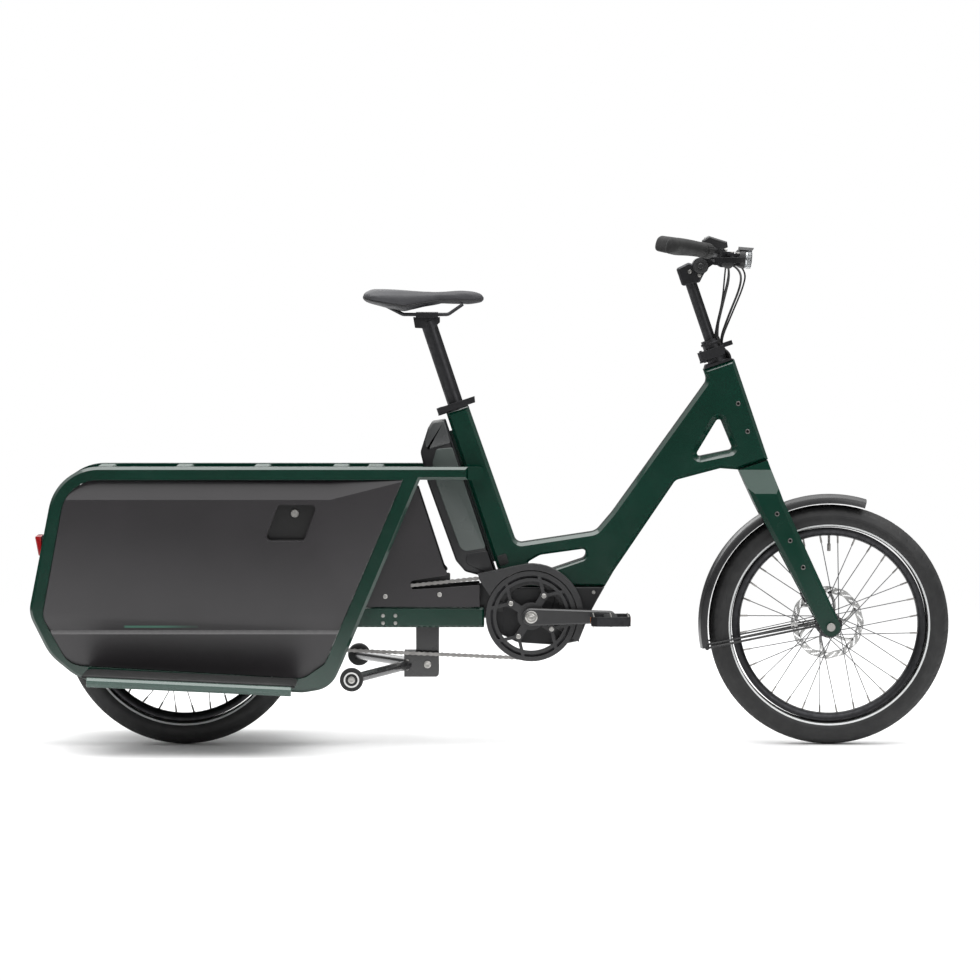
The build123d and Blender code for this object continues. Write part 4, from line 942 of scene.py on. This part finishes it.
def wheel(word, centre, width, flange_r, flange_y, body_r, disc_y):
    """All the pieces of one wheel."""
    build(word + "_tyre_carcass", [tyre_shape(centre)], tyre_rubber(word + "_tyre_rubber", centre),
          word + "_tyre", word + "_tyre", sharp=25)
    build(word + "_rim_ring", [rim_shape(centre)], rim_black, word + "_rim", word + "_rim")
    build(word + "_valve", [valve(centre)], nipple_metal, word + "_rim")
    wires, nipples = spoke_set(centre, flange_r, flange_y, 3.0)
    build(word + "_spoke_wires", wires, wire_black, word + "_spokes", word + "_spokes")
    build(word + "_nipples", nipples, nipple_metal, word + "_spokes")
    half_width = width / 2 - 0.4
    body = [hub_shape(centre, half_width, flange_r, flange_y, body_r)]
    disc_node = "front_rotor" if word == "front" else "rear_hub"
    screws = []
    arms = disc_arms(centre, disc_y, 25, 67, screws)
    stands = ("front_hub",) if word == "front" else ("rear_hub",)
    build(word + "_hub_shell", body, anodised, word + "_hub", *stands)
    rotor_for = ("front_rotor",) if word == "front" else ()
    build(word + "_brake_disc", [punched_disc(centre, disc_y, 80, 15), *arms], disc_steel, disc_node,
          *rotor_for)
    build(word + "_disc_screws", screws, bolt_metal, disc_node)


wheel("front", front_axle, 100, 24, 26, 14, 39.5)
wheel("rear", rear_axle, 135, 45, 28, 38, 52.0)


softened("front_axle", bolt_metal, 0.4)
softened("rear_axle", bolt_metal, 0.4)
softened("rear_sprocket", ground_steel("sprocket_steel", (0.42, 0.42, 0.41), 0.28, 0.6), 0)


# ------------------------------------------------------------------------------------ disc calipers
# Forged two-piston calipers in black, each held by two long screws on the left stay or fork leg,
# with a banjo fitting where the hose comes in.


def caliper_fittings(node, tilt):
    """Two flange screws and a turned banjo bolt on a caliper, along its tilted length."""
    spot = middle(node)
    length = np.array([np.cos(tilt), 0, np.sin(tilt)])
    up = np.array([-np.sin(tilt), 0, np.cos(tilt)])
    out = np.array([0, 1.0, 0])
    shapes = []
    for share in (-1, 1):
        shapes += socket_screw(spot + share * 17 * length + (0, 12.5, 0), out, 4.2, 3.5)
    banjo = [(0, 0), (5, 0), (5, 8), (3, 9), (3, 14), (0, 14)]
    shapes.append(turned(banjo, spot + 20 * up - 4 * length, up, 16))
    return shapes


for node, tilt in (("front_caliper", np.radians(28)), ("rear_caliper", np.radians(-28))):
    softened(node, anodised, 1.4)
    build(node + "_fittings", caliper_fittings(node, tilt), bolt_metal, node)


# ------------------------------------------------------------------------------------------- chain
# Roller chain of 12.7 mm pitch: pairs of figure-eight plates, wide and narrow in turn, on rollers.
# It runs round the chain ring and the sprocket, and its two straight runs are drawn tight.

pitch = 12.7
ring_r = pitch / 2 / np.sin(np.pi / 46)
cog_r = pitch / 2 / np.sin(np.pi / 18)
chain_y = middle("drive_chain")[1]
chain_steel = ground_steel("plated_chain_steel", (0.36, 0.35, 0.34), 0.28, 0.5)


def chain_line():
    """Evenly spaced points on the belt line round both wheels. The straight runs leave each wheel
    where the radius is square to them, at acos((R - r) / distance) from the line of centres."""
    gap = rear_axle - crank_axis
    distance = np.hypot(gap[0], gap[2])
    heading = np.arctan2(gap[2], gap[0])
    lean = np.arccos((ring_r - cog_r) / distance)
    big = np.linspace(heading + lean, heading + 2 * np.pi - lean, 400)
    small = np.linspace(heading - lean, heading + lean, 200)
    ring = crank_axis[[0, 2]] + ring_r * np.stack([np.cos(big), np.sin(big)], 1)
    cog = rear_axle[[0, 2]] + cog_r * np.stack([np.cos(small), np.sin(small)], 1)
    loop = np.concatenate([ring, cog, ring[:1]])
    length = np.concatenate([[0], np.cumsum(np.linalg.norm(np.diff(loop, axis=0), axis=1))])
    links = 2 * round(length[-1] / pitch / 2)
    marks = np.linspace(0, length[-1], links, endpoint=False)
    return np.stack([np.interp(marks, length, loop[:, 0]), np.interp(marks, length, loop[:, 1])], 1)


def chain_links():
    """Each link's plate is the outline of two round ends and a waist, drawn at its own two pins."""
    pins = chain_line()
    ahead = np.roll(pins, -1, 0)
    way = (ahead - pins) / np.linalg.norm(ahead - pins, axis=1, keepdims=True)
    side = np.stack([-way[:, 1], way[:, 0]], 1)
    outline = [(-4.1, 0), (-2.8, 3.1), (0.6, 4.1), (6.35, 2.6), (12.1, 4.1), (15.5, 3.1), (16.8, 0)]
    outline += [(x, -y) for x, y in outline[-2:0:-1]]
    local = np.array(outline)
    flat = pins[:, None] + local[None, :, :1] * way[:, None] + local[None, :, 1:] * side[:, None]
    shapes = []
    for number in range(len(pins)):
        wide = 3.6 if number % 2 else 2.5
        for sign in (-1, 1):
            low, high = sorted((chain_y + sign * wide, chain_y + sign * (wide + 0.9)))
            shapes.append(thin_plate(flat[number], low, high))
        spot = np.array([pins[number][0], chain_y, pins[number][1]])
        shapes.append(turned([(0, -4.9), (1.6, -4.9), (1.6, 4.9), (0, 4.9)], spot, (0, 1, 0), 6))
        shapes.append(turned([(1.6, -2.4), (3.8, -2.4), (3.8, 2.4), (1.6, 2.4)], spot, (0, 1, 0), 8))
    return shapes


def thin_plate(outline, low, high):
    """Plain plate of one outline from y = low to y = high."""
    ring = np.asarray(outline)
    count = len(ring)
    points = [np.stack([ring[:, 0], np.full(count, y), ring[:, 1]], 1) for y in (low, high)]
    faces = lattice(2, count, False, True).tolist()
    return np.concatenate(points), faces + [list(range(count)), list(range(count, 2 * count))]


build("chain_links", chain_links(), chain_steel, "drive_chain", "drive_chain", sharp=35)


# -------------------------------------------------------------------------------- cranks and pedals
# Forged black crank arms on a steel spindle, a machined chain ring, and a guard ring whose four
# arms each split in two. Silver screws join them. The pedals are cast platforms with steel pins.

softened("chainring", anodised, 0)
softened("spider", satin_black, 0.8)
softened("crank_right", satin_black, 1.2)
softened("crank_left", satin_black, 1.2)
guard_face = -62.0
silver_bolts = []
for number in range(4):
    turn = np.radians(58 + 90 * number)
    spot = crank_axis + (52 * np.cos(turn), guard_face - 1.5, 52 * np.sin(turn))
    silver_bolts += socket_screw(spot, np.array([0, -1.0, 0]), 5.4, 2.4)
build("ring_bolts", silver_bolts, bolt_metal, "spider")
cap_shapes = []
for side in (-1, 1):
    face_spot = crank_axis + (0, side * 86.0, 0)
    rim_profile = [(0, -0.2), (13.5, -0.2), (13.5, 0.4), (12.6, 1.0), (10.0, 1.0), (9.4, 0.2), (0, 0.2)]
    cap_shapes.append(turned(rim_profile, face_spot, (0, side, 0), 40))
    cap_shapes += socket_screw(face_spot, np.array([0, side, 0.0]), 7.5, 1.8)
build("crank_caps", cap_shapes, bolt_metal, "crank_right")

for word in ("right", "left"):
    node = "pedal_" + word
    softened(node, anodised, 0.8)
    low, high = corners(node)
    side = np.sign(low[1] + high[1])
    pins, plates = [], []
    for face in (-1, 1):
        for x in (low[0] + 5, (low[0] + high[0]) / 2, high[0] - 5):
            for y in (low[1] + 16, (low[1] + high[1]) / 2, high[1] - 16):
                edge_z = high[2] if face > 0 else low[2]
                pin = [(0, -1), (2.1, -1), (2.1, 0.6), (1.5, 2.6), (0, 2.6)]
                pins.append(turned(pin, np.array([x, y, edge_z]), (0, 0, face), 10))
    build(node + "_pins", pins, bolt_metal, node)
    centre_y = (low[1] + high[1]) / 2
    for x, out in ((low[0], -1), (high[0], 1)):
        amber = turned([(0, 0.1), (5.6, 0.1), (6.6, 0.9), (6.6, 1.2), (0, 1.6)],
                       np.array([x, centre_y, low[2] + 10]), (out, 0, 0), 6)
        plates.append(amber)
    amber_lens = bpy.data.materials.get("amber_reflector")
    if amber_lens is None:
        reflector = Finish("amber_reflector")
        cells = reflector.pebbles(1.6)
        reflector.set(Base_Color=reflector.mix(cells, (0.75, 0.20, 0.01), (0.40, 0.08, 0.004)))
        reflector.set(Roughness=0.1 + 0.1 * cells, Normal=reflector.bump(cells, 0.15))
    build(node + "_reflectors", plates, reflector, node)


# ---------------------------------------------------------------------------------------- kickstand
# Two black steel legs splay from a yoke under the frame, and each ends in a round rubber foot on an
# axle. The yoke turns on a pin through the square bracket tube.

black_paint = powder_coat("black_powder_coat", (0.012, 0.012, 0.013), (0.018, 0.018, 0.019), 0.26)
softened("stand_bracket", black_paint, 1.0)
softened("stand_legs", black_paint, 1.0)
foot_low, foot_high = corners("stand_feet")
foot_spot = (foot_low + foot_high) / 2
feet, rings, bolts = [], [], []
for side in (-1, 1):
    inner, outer = 272.0, foot_high[1]
    spot = np.array([foot_spot[0], side * inner, foot_spot[2]])
    tall = outer - inner
    rubber_profile = [(0, 0), (20, 0), (24, 2), (25, 4), (25, tall - 4), (24, tall - 1), (21.5, tall),
                      (17.5, tall)]
    rubber_profile += [(16.8, tall - 0.8), (0, tall - 0.8)]
    feet.append(turned(rubber_profile, spot, (0, side, 0), 64))
    ring_profile = [(13.0, tall - 1), (16.6, tall - 1), (16.4, tall - 0.1), (13.2, tall - 0.1)]
    rings.append(turned(ring_profile, spot, (0, side, 0), 64))
    bolts += socket_screw(spot + (0, side * (tall - 0.8), 0), np.array([0, side, 0.0]), 7.5, 1.2)
build("stand_foot_rubbers", feet, grip_rubber, "stand_feet", "stand_feet")
pale_ring = moulded("pale_wear_ring", (0.55, 0.55, 0.54), (0.62, 0.62, 0.61), 0.4)
build("stand_foot_rings", rings, pale_ring, "stand_feet")
pivot = hinge_place("stand_swing")
for up in (8, -9):
    bolts += socket_screw(pivot + (-44, -38, up), np.array([0, -1.0, 0]), 4.0, 2.2)
bolts += socket_screw(pivot + (0, -40, 0), np.array([0, -1.0, 0]), 8.0, 2.4)
bolts += socket_screw(pivot + (0, 40, 0), np.array([0, 1.0, 0]), 8.0, 2.4)
build("stand_bolts", bolts, bolt_metal, "stand_legs")


# --------------------------------------------------------------------------------------------- seat
# The seat post slides in the seat tube under a collar with a lever. The saddle is a moulded base on
# two steel rails, padded with foam under a satin cover, with a seam round its skirt.

softened("seat_clamp", anodised, 0.8)
softened("seat_lever", anodised, 1.2)
softened("seat_post", anodised, 0.8)
saddle_low, saddle_high = corners("saddle")


def saddle_shape(shrink=0.0, lower=0.0):
    """Closed loft along X: at share s from nose to tail the half width is
    16 + 62 smooth(s, .38, .92) and the section is a super-ellipse, flatter below its rim, whose
    crown follows a gentle dip and lifts at the tail. The ends close by a quarter circle."""
    s = np.linspace(0, 1, 60)
    x = saddle_high[0] - 1 - s * (saddle_high[0] - saddle_low[0] - 2)

    def smooth(low, high):
        t = np.clip((s - low) / (high - low), 0, 1)
        return t * t * (3 - 2 * t)

    ends = np.sqrt(np.clip(1 - np.clip((0.10 - s) / 0.10, 0, 1) ** 2, 0, 1))
    tail = np.sqrt(np.clip(1 - np.clip((s - 0.93) / 0.07, 0, 1) ** 2.2, 0, 1))
    width = (15 + 6 * smooth(0.05, 0.3) + 58 * smooth(0.36, 0.90)) * ends * tail - shrink
    width = np.maximum(width, 0.6)
    crown = saddle_high[2] - 1.5 - 5 * np.sin(np.pi * np.clip(s / 0.85, 0, 1)) ** 2
    crown = crown - 9 * (1 - ends) - 9 * (1 - tail) - 4 * np.exp(-(((s - 0.0) / 0.08) ** 2)) - shrink
    places, depths = [0, 0.12, 0.35, 0.5, 0.66, 0.8, 0.9, 1], [24, 30, 24, 31, 44, 38, 31, 24]
    depth = np.interp(s, places, depths) * (0.45 + 0.55 * ends * tail) - shrink
    angle = np.linspace(0, 2 * np.pi, 48, endpoint=False)[None]
    power_y, power_z = 0.72, 0.62
    y = np.sign(np.cos(angle)) * np.abs(np.cos(angle)) ** power_y * width[:, None]
    up = np.sign(np.sin(angle)) * np.abs(np.sin(angle)) ** power_z
    groove = 1.8 * np.exp(-((y / 7.0) ** 2)) * (np.sin(angle) > 0) * smooth(0.2, 0.4)[:, None]
    z = (crown - depth / 2)[:, None] + up * depth[:, None] / 2 - groove - lower
    points = np.stack([np.repeat(x[:, None], 48, 1), y, z], -1)
    faces = lattice(60, 48, False, True).tolist()
    faces += [list(range(48))[::-1], list(range(59 * 48, 60 * 48))]
    return points.reshape(-1, 3), faces


def inflate(piece, limit):
    """Cloth pressure swells the foam under its cover for 20 frames. No point moves over limit."""
    rest = np.empty(3 * len(piece.data.vertices))
    piece.data.vertices.foreach_get("co", rest)
    cloth = piece.modifiers.new("cover_cloth", "CLOTH")
    cloth.settings.use_pressure = True
    cloth.settings.uniform_pressure_force = 4.0
    cloth.settings.effector_weights.gravity = 0.0
    cloth.settings.quality = 5
    scene.frame_start, scene.frame_end = 1, 20
    for number in range(1, 21):
        scene.frame_set(number)
    swollen = piece.evaluated_get(bpy.context.evaluated_depsgraph_get()).to_mesh()
    moved = np.empty_like(rest)
    swollen.vertices.foreach_get("co", moved)
    step = (moved - rest).reshape(-1, 3)
    size_of = np.linalg.norm(step, axis=1, keepdims=True)
    step = step * np.minimum(1, limit / 1000 / np.maximum(size_of, 1e-9))
    piece.modifiers.remove(cloth)
    scene.frame_set(1)
    piece.data.vertices.foreach_set("co", (rest.reshape(-1, 3) + step).ravel())
    piece.data.update()


def cover_leather():
    """Satin synthetic cover: fine pebble grain, soft wear on the crown."""
    skin = Finish("saddle_cover")
    cells = skin.pebbles(1.5)
    worn = skin.facing_up().ramp(0.6, 1.0) * skin.noise(40, 4).ramp(0.35, 0.75)
    skin.set(Base_Color=skin.mix(worn * 0.5 + cells * 0.15, (0.024, 0.024, 0.026), (0.040, 0.040, 0.042)))
    skin.set(Roughness=0.30 + 0.10 * cells - 0.06 * worn, Specular_IOR_Level=0.55)
    return skin.set(Normal=skin.bump(1 - cells, 0.05))


padding = build("saddle_padding", [saddle_shape(1.6)], cover_leather(), "saddle", "saddle", sharp=60)
remesh = padding.modifiers.new("even_foam", "REMESH")
remesh.mode, remesh.voxel_size = "VOXEL", 0.0045
evened = bpy.data.meshes.new_from_object(padding.evaluated_get(bpy.context.evaluated_depsgraph_get()))
padding.modifiers.remove(remesh)
evened.materials.clear()
evened.materials.append(bpy.data.materials["saddle_cover"])
padding.data = evened
inflate(padding, 2.2)
padding.data.shade_smooth()
smoother = padding.modifiers.new("smooth_cover", "SUBSURF")
smoother.levels = smoother.render_levels = 1


def skirt_seam():
    """Piped seam: a thin rod round the loft where its section is widest, a little below."""
    points = saddle_shape(0.2)[0].reshape(60, 48, 3)
    right, left = points[1:-1, 45], points[1:-1, 27]
    loop = np.concatenate([right, left[::-1]])
    return [rod(loop, 1.0, 8)]


build("saddle_seam", skirt_seam(), grip_rubber, "saddle", sharp=60)


# ---------------------------------------------------------------------------------------- steering
# The welded fork turns in the head tube on two bearings. Its broad legs are box sections in the
# frame's green, with three threaded inserts outside each. Above it the black headset cap takes in
# the hoses, and a split collar with a lever clamps the height of the handlebar's column.

fork_coat = powder_coat("green_fork_coat", (0.0006, 0.0215, 0.0125), (0.0010, 0.0265, 0.0160), 0.22)
fork_coat.set(Coat_Weight=0.0, Specular_IOR_Level=0.3)
softened("fork", fork_coat, 1.6)
softened("column_clamp", anodised, 1.0)
softened("clamp_lever", anodised, 1.2)
softened("stem_column", anodised, 0.4)

insert_metal = ground_steel("threaded_insert", (0.16, 0.155, 0.15), 0.30, 0.4)
insert_profile = [(2.6, -3), (5.2, -3), (5.2, 0.5), (4.4, 1.0), (2.9, 1.0), (2.6, 0.5)]
inserts = []
for mount in frame["record"]["mounts"]:
    if mount["name"].startswith("fork_boss"):
        side = np.sign(mount["pos_m"][1])
        spot = 1000 * np.array(mount["pos_m"]) * (1, 0, 1) + (0, side * 76.0, 0)
        inserts.append(turned(insert_profile, spot, (0, side, 0), 24))
build("fork_inserts", inserts, insert_metal, "fork")
inserts = []
for mount in frame["record"]["mounts"]:
    if mount["name"].startswith("head_boss"):
        spot = 1000 * np.array(mount["pos_m"]) * (1, 0, 1) + (0, -31.0, 0)
        inserts.append(turned(insert_profile, spot, (0, -1, 0), 24))
build("head_inserts", inserts, insert_metal, "main_frame")

rings = []
for along in (231.5, 262, 276):
    ring_profile = [(16, 0), (22.6, 0), (23.2, 0.8), (23.2, 4.2), (22.6, 5), (16, 5)]
    rings.append(turned(ring_profile, head(along, 0), steer_up, 64))
build("headset_rings", rings, anodised, "column_clamp")


# ---------------------------------------------------------------------------------- stem and handlebar
# A forged stem block with a tilting arm is bolted on the column, and clamps the swept black bar.
# The grips are soft rubber with a palm wing, locked by a collar, and gears change by a twist sleeve.

softened("stem", anodised, 1.2)
softened("handlebar", anodised, 0)
stem_screws = []
for along, ahead in ((407, 5), (393, 22)):
    stem_screws += socket_screw(head(along + 34, ahead, -21), np.array([0, -1.0, 0]), 4.6, 3.2)
pivot = head(445, 31)
disc_profile = [(0, 24.8), (15.5, 24.8), (16.2, 25.6), (16.2, 26.2), (14.6, 26.6), (9, 26.6), (8.2, 25.8),
                (0, 25.8)]
discs = [turned(disc_profile, pivot, (0, side, 0), 48) for side in (-1, 1)]
discs += [shape for side in (-1, 1)
          for shape in socket_screw(pivot + (0, side * 25.8, 0), (0, side, 0), 6.0, 2.4)]
for side in (-1, 1):
    for up in (-1, 1):
        front = bar_centre + (21.5, side * 15, up * 11)
        stem_screws += socket_screw(front, np.array([1.0, 0, 0]), 3.8, 3.0)
build("stem_screws", stem_screws, bolt_metal, "stem")
build("stem_pivot_discs", discs, satin_black, "stem")

twist = joints["twist_shift"]
bar_way = np.array(twist["axis"], float)
bar_bend = hinge_place("twist_shift") - 30 * bar_way


def on_grip(along, side=-1):
    """A point along the swept end of the bar, from its bend, and the way outwards."""
    flip = np.array([1, -side, 1])
    return (bar_bend + along * bar_way) * flip, bar_way * flip


def grip_shape(first, side):
    """Grip about the bar: the radius is 15 + 1.6 sin^2(pi s) + a flange at each end + rib ripple,
    and the wing adds 17 * smooth(s) * max(0, cos(a - back))^2 towards the rider."""
    last = 171.0
    s = np.linspace(0, 1, 90)[:, None]
    angle = np.linspace(0, 2 * np.pi, 64, endpoint=False)[None]
    start, way = on_grip(first, side)
    back = np.array([-0.8, 0, -0.6]) - way * (np.array([-0.8, 0, -0.6]) @ way)
    back = back / np.linalg.norm(back)
    over = np.cross(way, back)
    share = np.clip((s - 0.22) / 0.55, 0, 1)
    wing = 10.0 * share * share * (3 - 2 * share) * np.clip(np.cos(angle), 0, 1) ** 1.6
    wing = wing * np.sqrt(np.clip(1 - np.clip((s - 0.86) / 0.14, 0, 1) ** 2, 0.02, 1))
    flange = 2.0 * np.exp(-(((s - 0.01) / 0.02) ** 2))
    ribs = 0.45 * np.abs(np.sin(46 * np.pi * s)) * (np.abs(np.sin(angle)) ** 0.5) * (s > 0.05) * (s < 0.8)
    flat = 1 - 0.10 * np.clip(np.cos(angle), 0, 1) * share
    ends = np.sqrt(np.clip(1 - np.clip((s - 0.93) / 0.07, 0, 1) ** 2, 0.0, 1))
    radius = (16.0 + 0.8 * np.sin(np.pi * s) ** 2 + 0.6 * flange + ribs) * (0.04 + 0.96 * ends)
    across = (radius * flat + wing)[..., None] * np.cos(angle)[..., None] * back
    across = across + (radius * (1 - 0.25 * wing / 15))[..., None] * np.sin(angle)[..., None] * over
    points = start + (s * (last - first))[..., None] * way + across
    faces = lattice(90, 64, False, True).tolist()
    faces += [list(range(64))[::-1], list(range(89 * 64, 90 * 64))]
    return points.reshape(-1, 3), faces


build("hand_grips", [grip_shape(48, -1), grip_shape(20, 1)], grip_rubber, "grips", "grips")
collars = []
collar_profile = [(11.3, 0), (16.2, 0), (16.8, 0.8), (16.8, 6.2), (16.2, 7), (11.3, 7)]
for along, side in ((10.5, 1),):
    spot, way = on_grip(along, side)
    collars.append(turned(collar_profile, spot, way, 48))
build("grip_collar", collars, anodised, "grips")


def knurled_sleeve():
    """Sleeve whose radius ripples as 16.4 + 0.7 |cos(9 a)| between two plain rims."""
    s = np.linspace(0, 1, 24)[:, None]
    angle = np.linspace(0, 2 * np.pi, 144, endpoint=False)[None]
    start, way = on_grip(20.3, -1)
    lead = np.array([0, 0, 1.0]) - way * way[2]
    lead = lead / np.linalg.norm(lead)
    side = np.cross(way, lead)
    middle_part = (s > 0.14) * (s < 0.86)
    radius = 16.2 + 0.8 * np.abs(np.cos(9 * angle)) ** 0.6 * middle_part
    radius = np.where((s == 0) | (s == 1), 11.4, radius)
    ring = radius[..., None] * (np.cos(angle)[..., None] * lead + np.sin(angle)[..., None] * side)
    points = start + (np.clip(s, 0.01, 0.99) * 25.4)[..., None] * way + ring
    inner = 11.3 * (np.cos(angle)[..., None] * lead + np.sin(angle)[..., None] * side)
    inner = start + (np.array([[0.99], [0.01]]) * 25.4)[..., None] * way + inner
    points = np.concatenate([points, inner])
    return points.reshape(-1, 3), lattice(len(points), 144, True, True)


build("gear_twist_sleeve", [knurled_sleeve()], grip_rubber, "twist_sleeve", "twist_sleeve")


# --------------------------------------------------------------------- gear pod, levers and headlight
# The gear indicator, the forged brake levers with their master cylinders, and the round headlight
# are all clamped to the bar. The lamp has a clear front over a ribbed reflector, under a visor.

softened("shifter_pod", black_plastic, 1.6)
softened("brake_perches", anodised, 1.2)
softened("brake_lever_right", anodised, 1.4)
softened("brake_lever_left", anodised, 1.4)

window_clear = Finish("indicator_window")
marks = window_clear.along((0, 1, 0))
ticks = marks.math("SINE", marks * 1.4).ramp(0.55, 0.8)
window_clear.set(Base_Color=window_clear.mix(ticks, (0.75, 0.76, 0.76), (0.08, 0.08, 0.08)))
window_clear.set(Roughness=0.08 + 0.05 * window_clear.noise(12), Coat_Weight=0.8, Coat_Roughness=0.03)
window_spots = [(-31.5, 36.2), (-23.5, 40.6), (-22.5, 42.4), (-32.5, 37.8)]
window_outline = np.array([(bar_centre[0] + x, bar_centre[2] + z) for x, z in window_spots])
build("indicator_window", [plate(window_outline, -166, -140, 0.5)], window_clear, "shifter_pod")

lever_screws, caps = [], []
for side in (-1, 1):
    pin = hinge_place("brake_right") * (1, 0, 1) + (0, side * 118.0, 13.2)
    lever_screws += socket_screw(pin, np.array([0, 0, 1.0]), 5.0, 2.2)
    cap_spot = bar_centre + (20, side * 136.0, -16)
    cap_profile = [(0, 0), (12.4, 0), (12.4, 2.2), (11.4, 3), (0, 3)]
    caps.append(turned(cap_profile, cap_spot - (0, side * 0.5, 0), (0, side, 0), 40))
    lever_screws += socket_screw(bar_centre + (20, side * 110, -3.6), np.array([0, 0, 1.0]), 3.6, 1.6)
build("lever_screws", lever_screws, bolt_metal, "brake_perches")
build("cylinder_caps", caps, satin_black, "brake_perches")

lamp_low, lamp_high = corners("headlight")
lamp_back = bar_centre + (42, 0, -6)
lamp_way = np.array([36.0, 0, -3.0]) / np.hypot(36, 3)
housing = [(0, 0.2), (13, 0.2), (17, 3), (20.5, 9), (21.8, 14), (22, 21), (21.4, 22), (20, 22), (18, 16),
           (0, 12)]
lamp_shell = turned(housing, lamp_back, lamp_way, 64)
arm = [(bar_centre[0] + 22.2, bar_centre[2] - 11.5, 2), (bar_centre[0] + 46, bar_centre[2] - 14, 2)]
arm += [(bar_centre[0] + 46, bar_centre[2] + 0, 2), (bar_centre[0] + 22.2, bar_centre[2] + 1.5, 2)]
share = np.linspace(-1, 1, 25)[None]
out = np.linspace(0, 1, 16)[:, None]
visor_turn = 0.72 * share
visor_reach = 22.4 + 0 * out
layers = []
for thick in (0.0, 1.6):
    x = lamp_back[0] + 8 + 33 * out * np.cos(0.8 * share) ** 0.5
    y = (visor_reach + thick) * np.sin(visor_turn) + 0 * out
    z = lamp_back[2] + (visor_reach + thick) * np.cos(visor_turn) - 2.6 * out
    layers.append(np.stack([x, y, z], -1))
visor_loop = np.concatenate([layers[0], layers[1][:, ::-1]], 1)
visor_count = visor_loop.shape[1]
visor_faces = lattice(16, visor_count, False, True).tolist()
for first in (0, 15 * visor_count):
    visor_faces += [[first + k, first + k + 1, first + visor_count - 2 - k, first + visor_count - 1 - k]
                    for k in range(24)]
visor = (visor_loop.reshape(-1, 3), visor_faces)
build("headlight_housing", [lamp_shell, plate(rounded(arm), -8, 8, 1), visor], black_plastic, "headlight",
      "headlight")
reflector_metal = Finish("lamp_reflector")
facets = reflector_metal.pebbles(3.0)
reflector_metal.set(Base_Color=reflector_metal.mix(facets, (0.85, 0.85, 0.85), (0.6, 0.6, 0.6)), Metallic=1.0)
reflector_metal.set(Roughness=0.08 + 0.1 * facets, Normal=reflector_metal.bump(facets, 0.4))
bowl = [(0, 14), (6, 14.8), (12, 17.5), (17, 21.5), (19.8, 26), (19.8, 24.6), (17.6, 19.5), (12, 15.4),
        (0, 12.6)]
build("headlight_reflector", [turned(bowl, lamp_back, lamp_way, 64)], reflector_metal, "headlight")
glass = Finish("clear_lamp_front")
smudge = glass.noise(14, 4)
glass.set(Base_Color=glass.mix(smudge, (0.9, 0.92, 0.93), (0.82, 0.84, 0.85)), Roughness=0.03 + 0.06 * smudge)
glass.set(Transmission_Weight=0.92, IOR=1.45)
front_lens = [(20.2, 21.6), (21.4, 21.6), (21.6, 34), (20.4, 35.6), (12, 36.8), (0, 37.2), (0, 35.4),
              (12, 35), (19.6, 33.8)]
build("headlight_lens", [turned(front_lens, lamp_back, lamp_way, 64)], glass, "headlight")


# ------------------------------------------------------------------------------------------- hoses
# Two brake hoses, the gear cables and the lamp lead run from the bar in loose bows down into the
# headset cap. One more hose leaves the fork leg for the front caliper, and one leaves the stay for
# the rear caliper.


def smooth_line(spots):
    """Points read from one NURBS spline whose control points are the given spots."""
    line = bpy.data.curves.new("route", "CURVE")
    line.dimensions, line.resolution_u = "3D", 14
    spline = line.splines.new("NURBS")
    spline.points.add(len(spots) - 1)
    for point, spot in zip(spline.points, spots):
        point.co = (*(c / 1000 for c in spot), 1)
    spline.order_u = 3
    spline.use_endpoint_u = True
    holder = bpy.data.objects.new("route", line)
    drawn = bpy.data.meshes.new_from_object(holder)
    found = 1000 * np.array([v.co for v in drawn.vertices])
    bpy.data.objects.remove(holder)
    bpy.data.curves.remove(line)
    bpy.data.meshes.remove(drawn)
    return found


hose_skin = rubber("hose_jacket", (0.010, 0.010, 0.0105), (0.018, 0.018, 0.018), 0.30, 0.9, 0.01)
cap_hole = head(237, 25)
hose_r, cable_r, hose_sides = 2.5, 1.9, 10
brake_hoses = (0, 3)
routes = [
    [(22, -74, -22), (27, -56, -30), (24, -36, -62), (6, -22, -130), (2, -15, -196)],
    [(20, -44, -20), (18, -30, -48), (14, -20, -100), (0, -10, -160), (-4, -8, -200)],
    [(30, 50, -26), (34, 34, -44), (20, 16, -96), (4, 4, -160), (-2, 2, -200)],
    [(42, 70, -24), (58, 62, -34), (58, 42, -66), (30, 16, -130), (8, 8, -190)],
    [(48, 6, -18), (66, 4, -34), (62, 2, -66), (34, 2, -132), (10, -2, -190)],
]
cables = []
for number, route in enumerate(routes):
    spots = [bar_centre + np.array(spot) for spot in route]
    end = cap_hole + (4 - 2 * number, (number - 2) * 5.5, -6)
    spots += [end + np.array([1.5, 0, 16]), end]
    line_r = hose_r if number in brake_hoses else cable_r
    cables.append(rod(smooth_line(spots), line_r, hose_sides))
bundle = build("bar_hoses", cables, hose_skin, "control_hoses", "control_hoses", sharp=60)
bundle.parent = None
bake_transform(bundle)

spot = middle("front_caliper")
leg = front_axle + (-82, 66, 172)
front_hose = [leg, leg + (-8, -2, -14), leg + (-8, -8, -40), spot + (6, 4, 46), spot + (-2, 0, 34),
              spot + (-13, 0, 22)]
grommet = turned([(2.4, -2), (6, -2), (6, 1.5), (4, 3), (2.4, 3)], leg, (-1, 0, -0.4), 20)
build("front_brake_hose", [rod(smooth_line(front_hose), hose_r, hose_sides), grommet], hose_skin, "fork")
spot = middle("rear_caliper")
rear_hose = [spot + (11, 0, 21), spot + (24, 2, 32), spot + (60, 6, 30), spot + (110, 12, -4),
             spot + (170, 14, -36), spot + (215, 12, -48)]
build("rear_brake_hose", [rod(smooth_line(rear_hose), hose_r, hose_sides)], hose_skin, "rear_caliper")
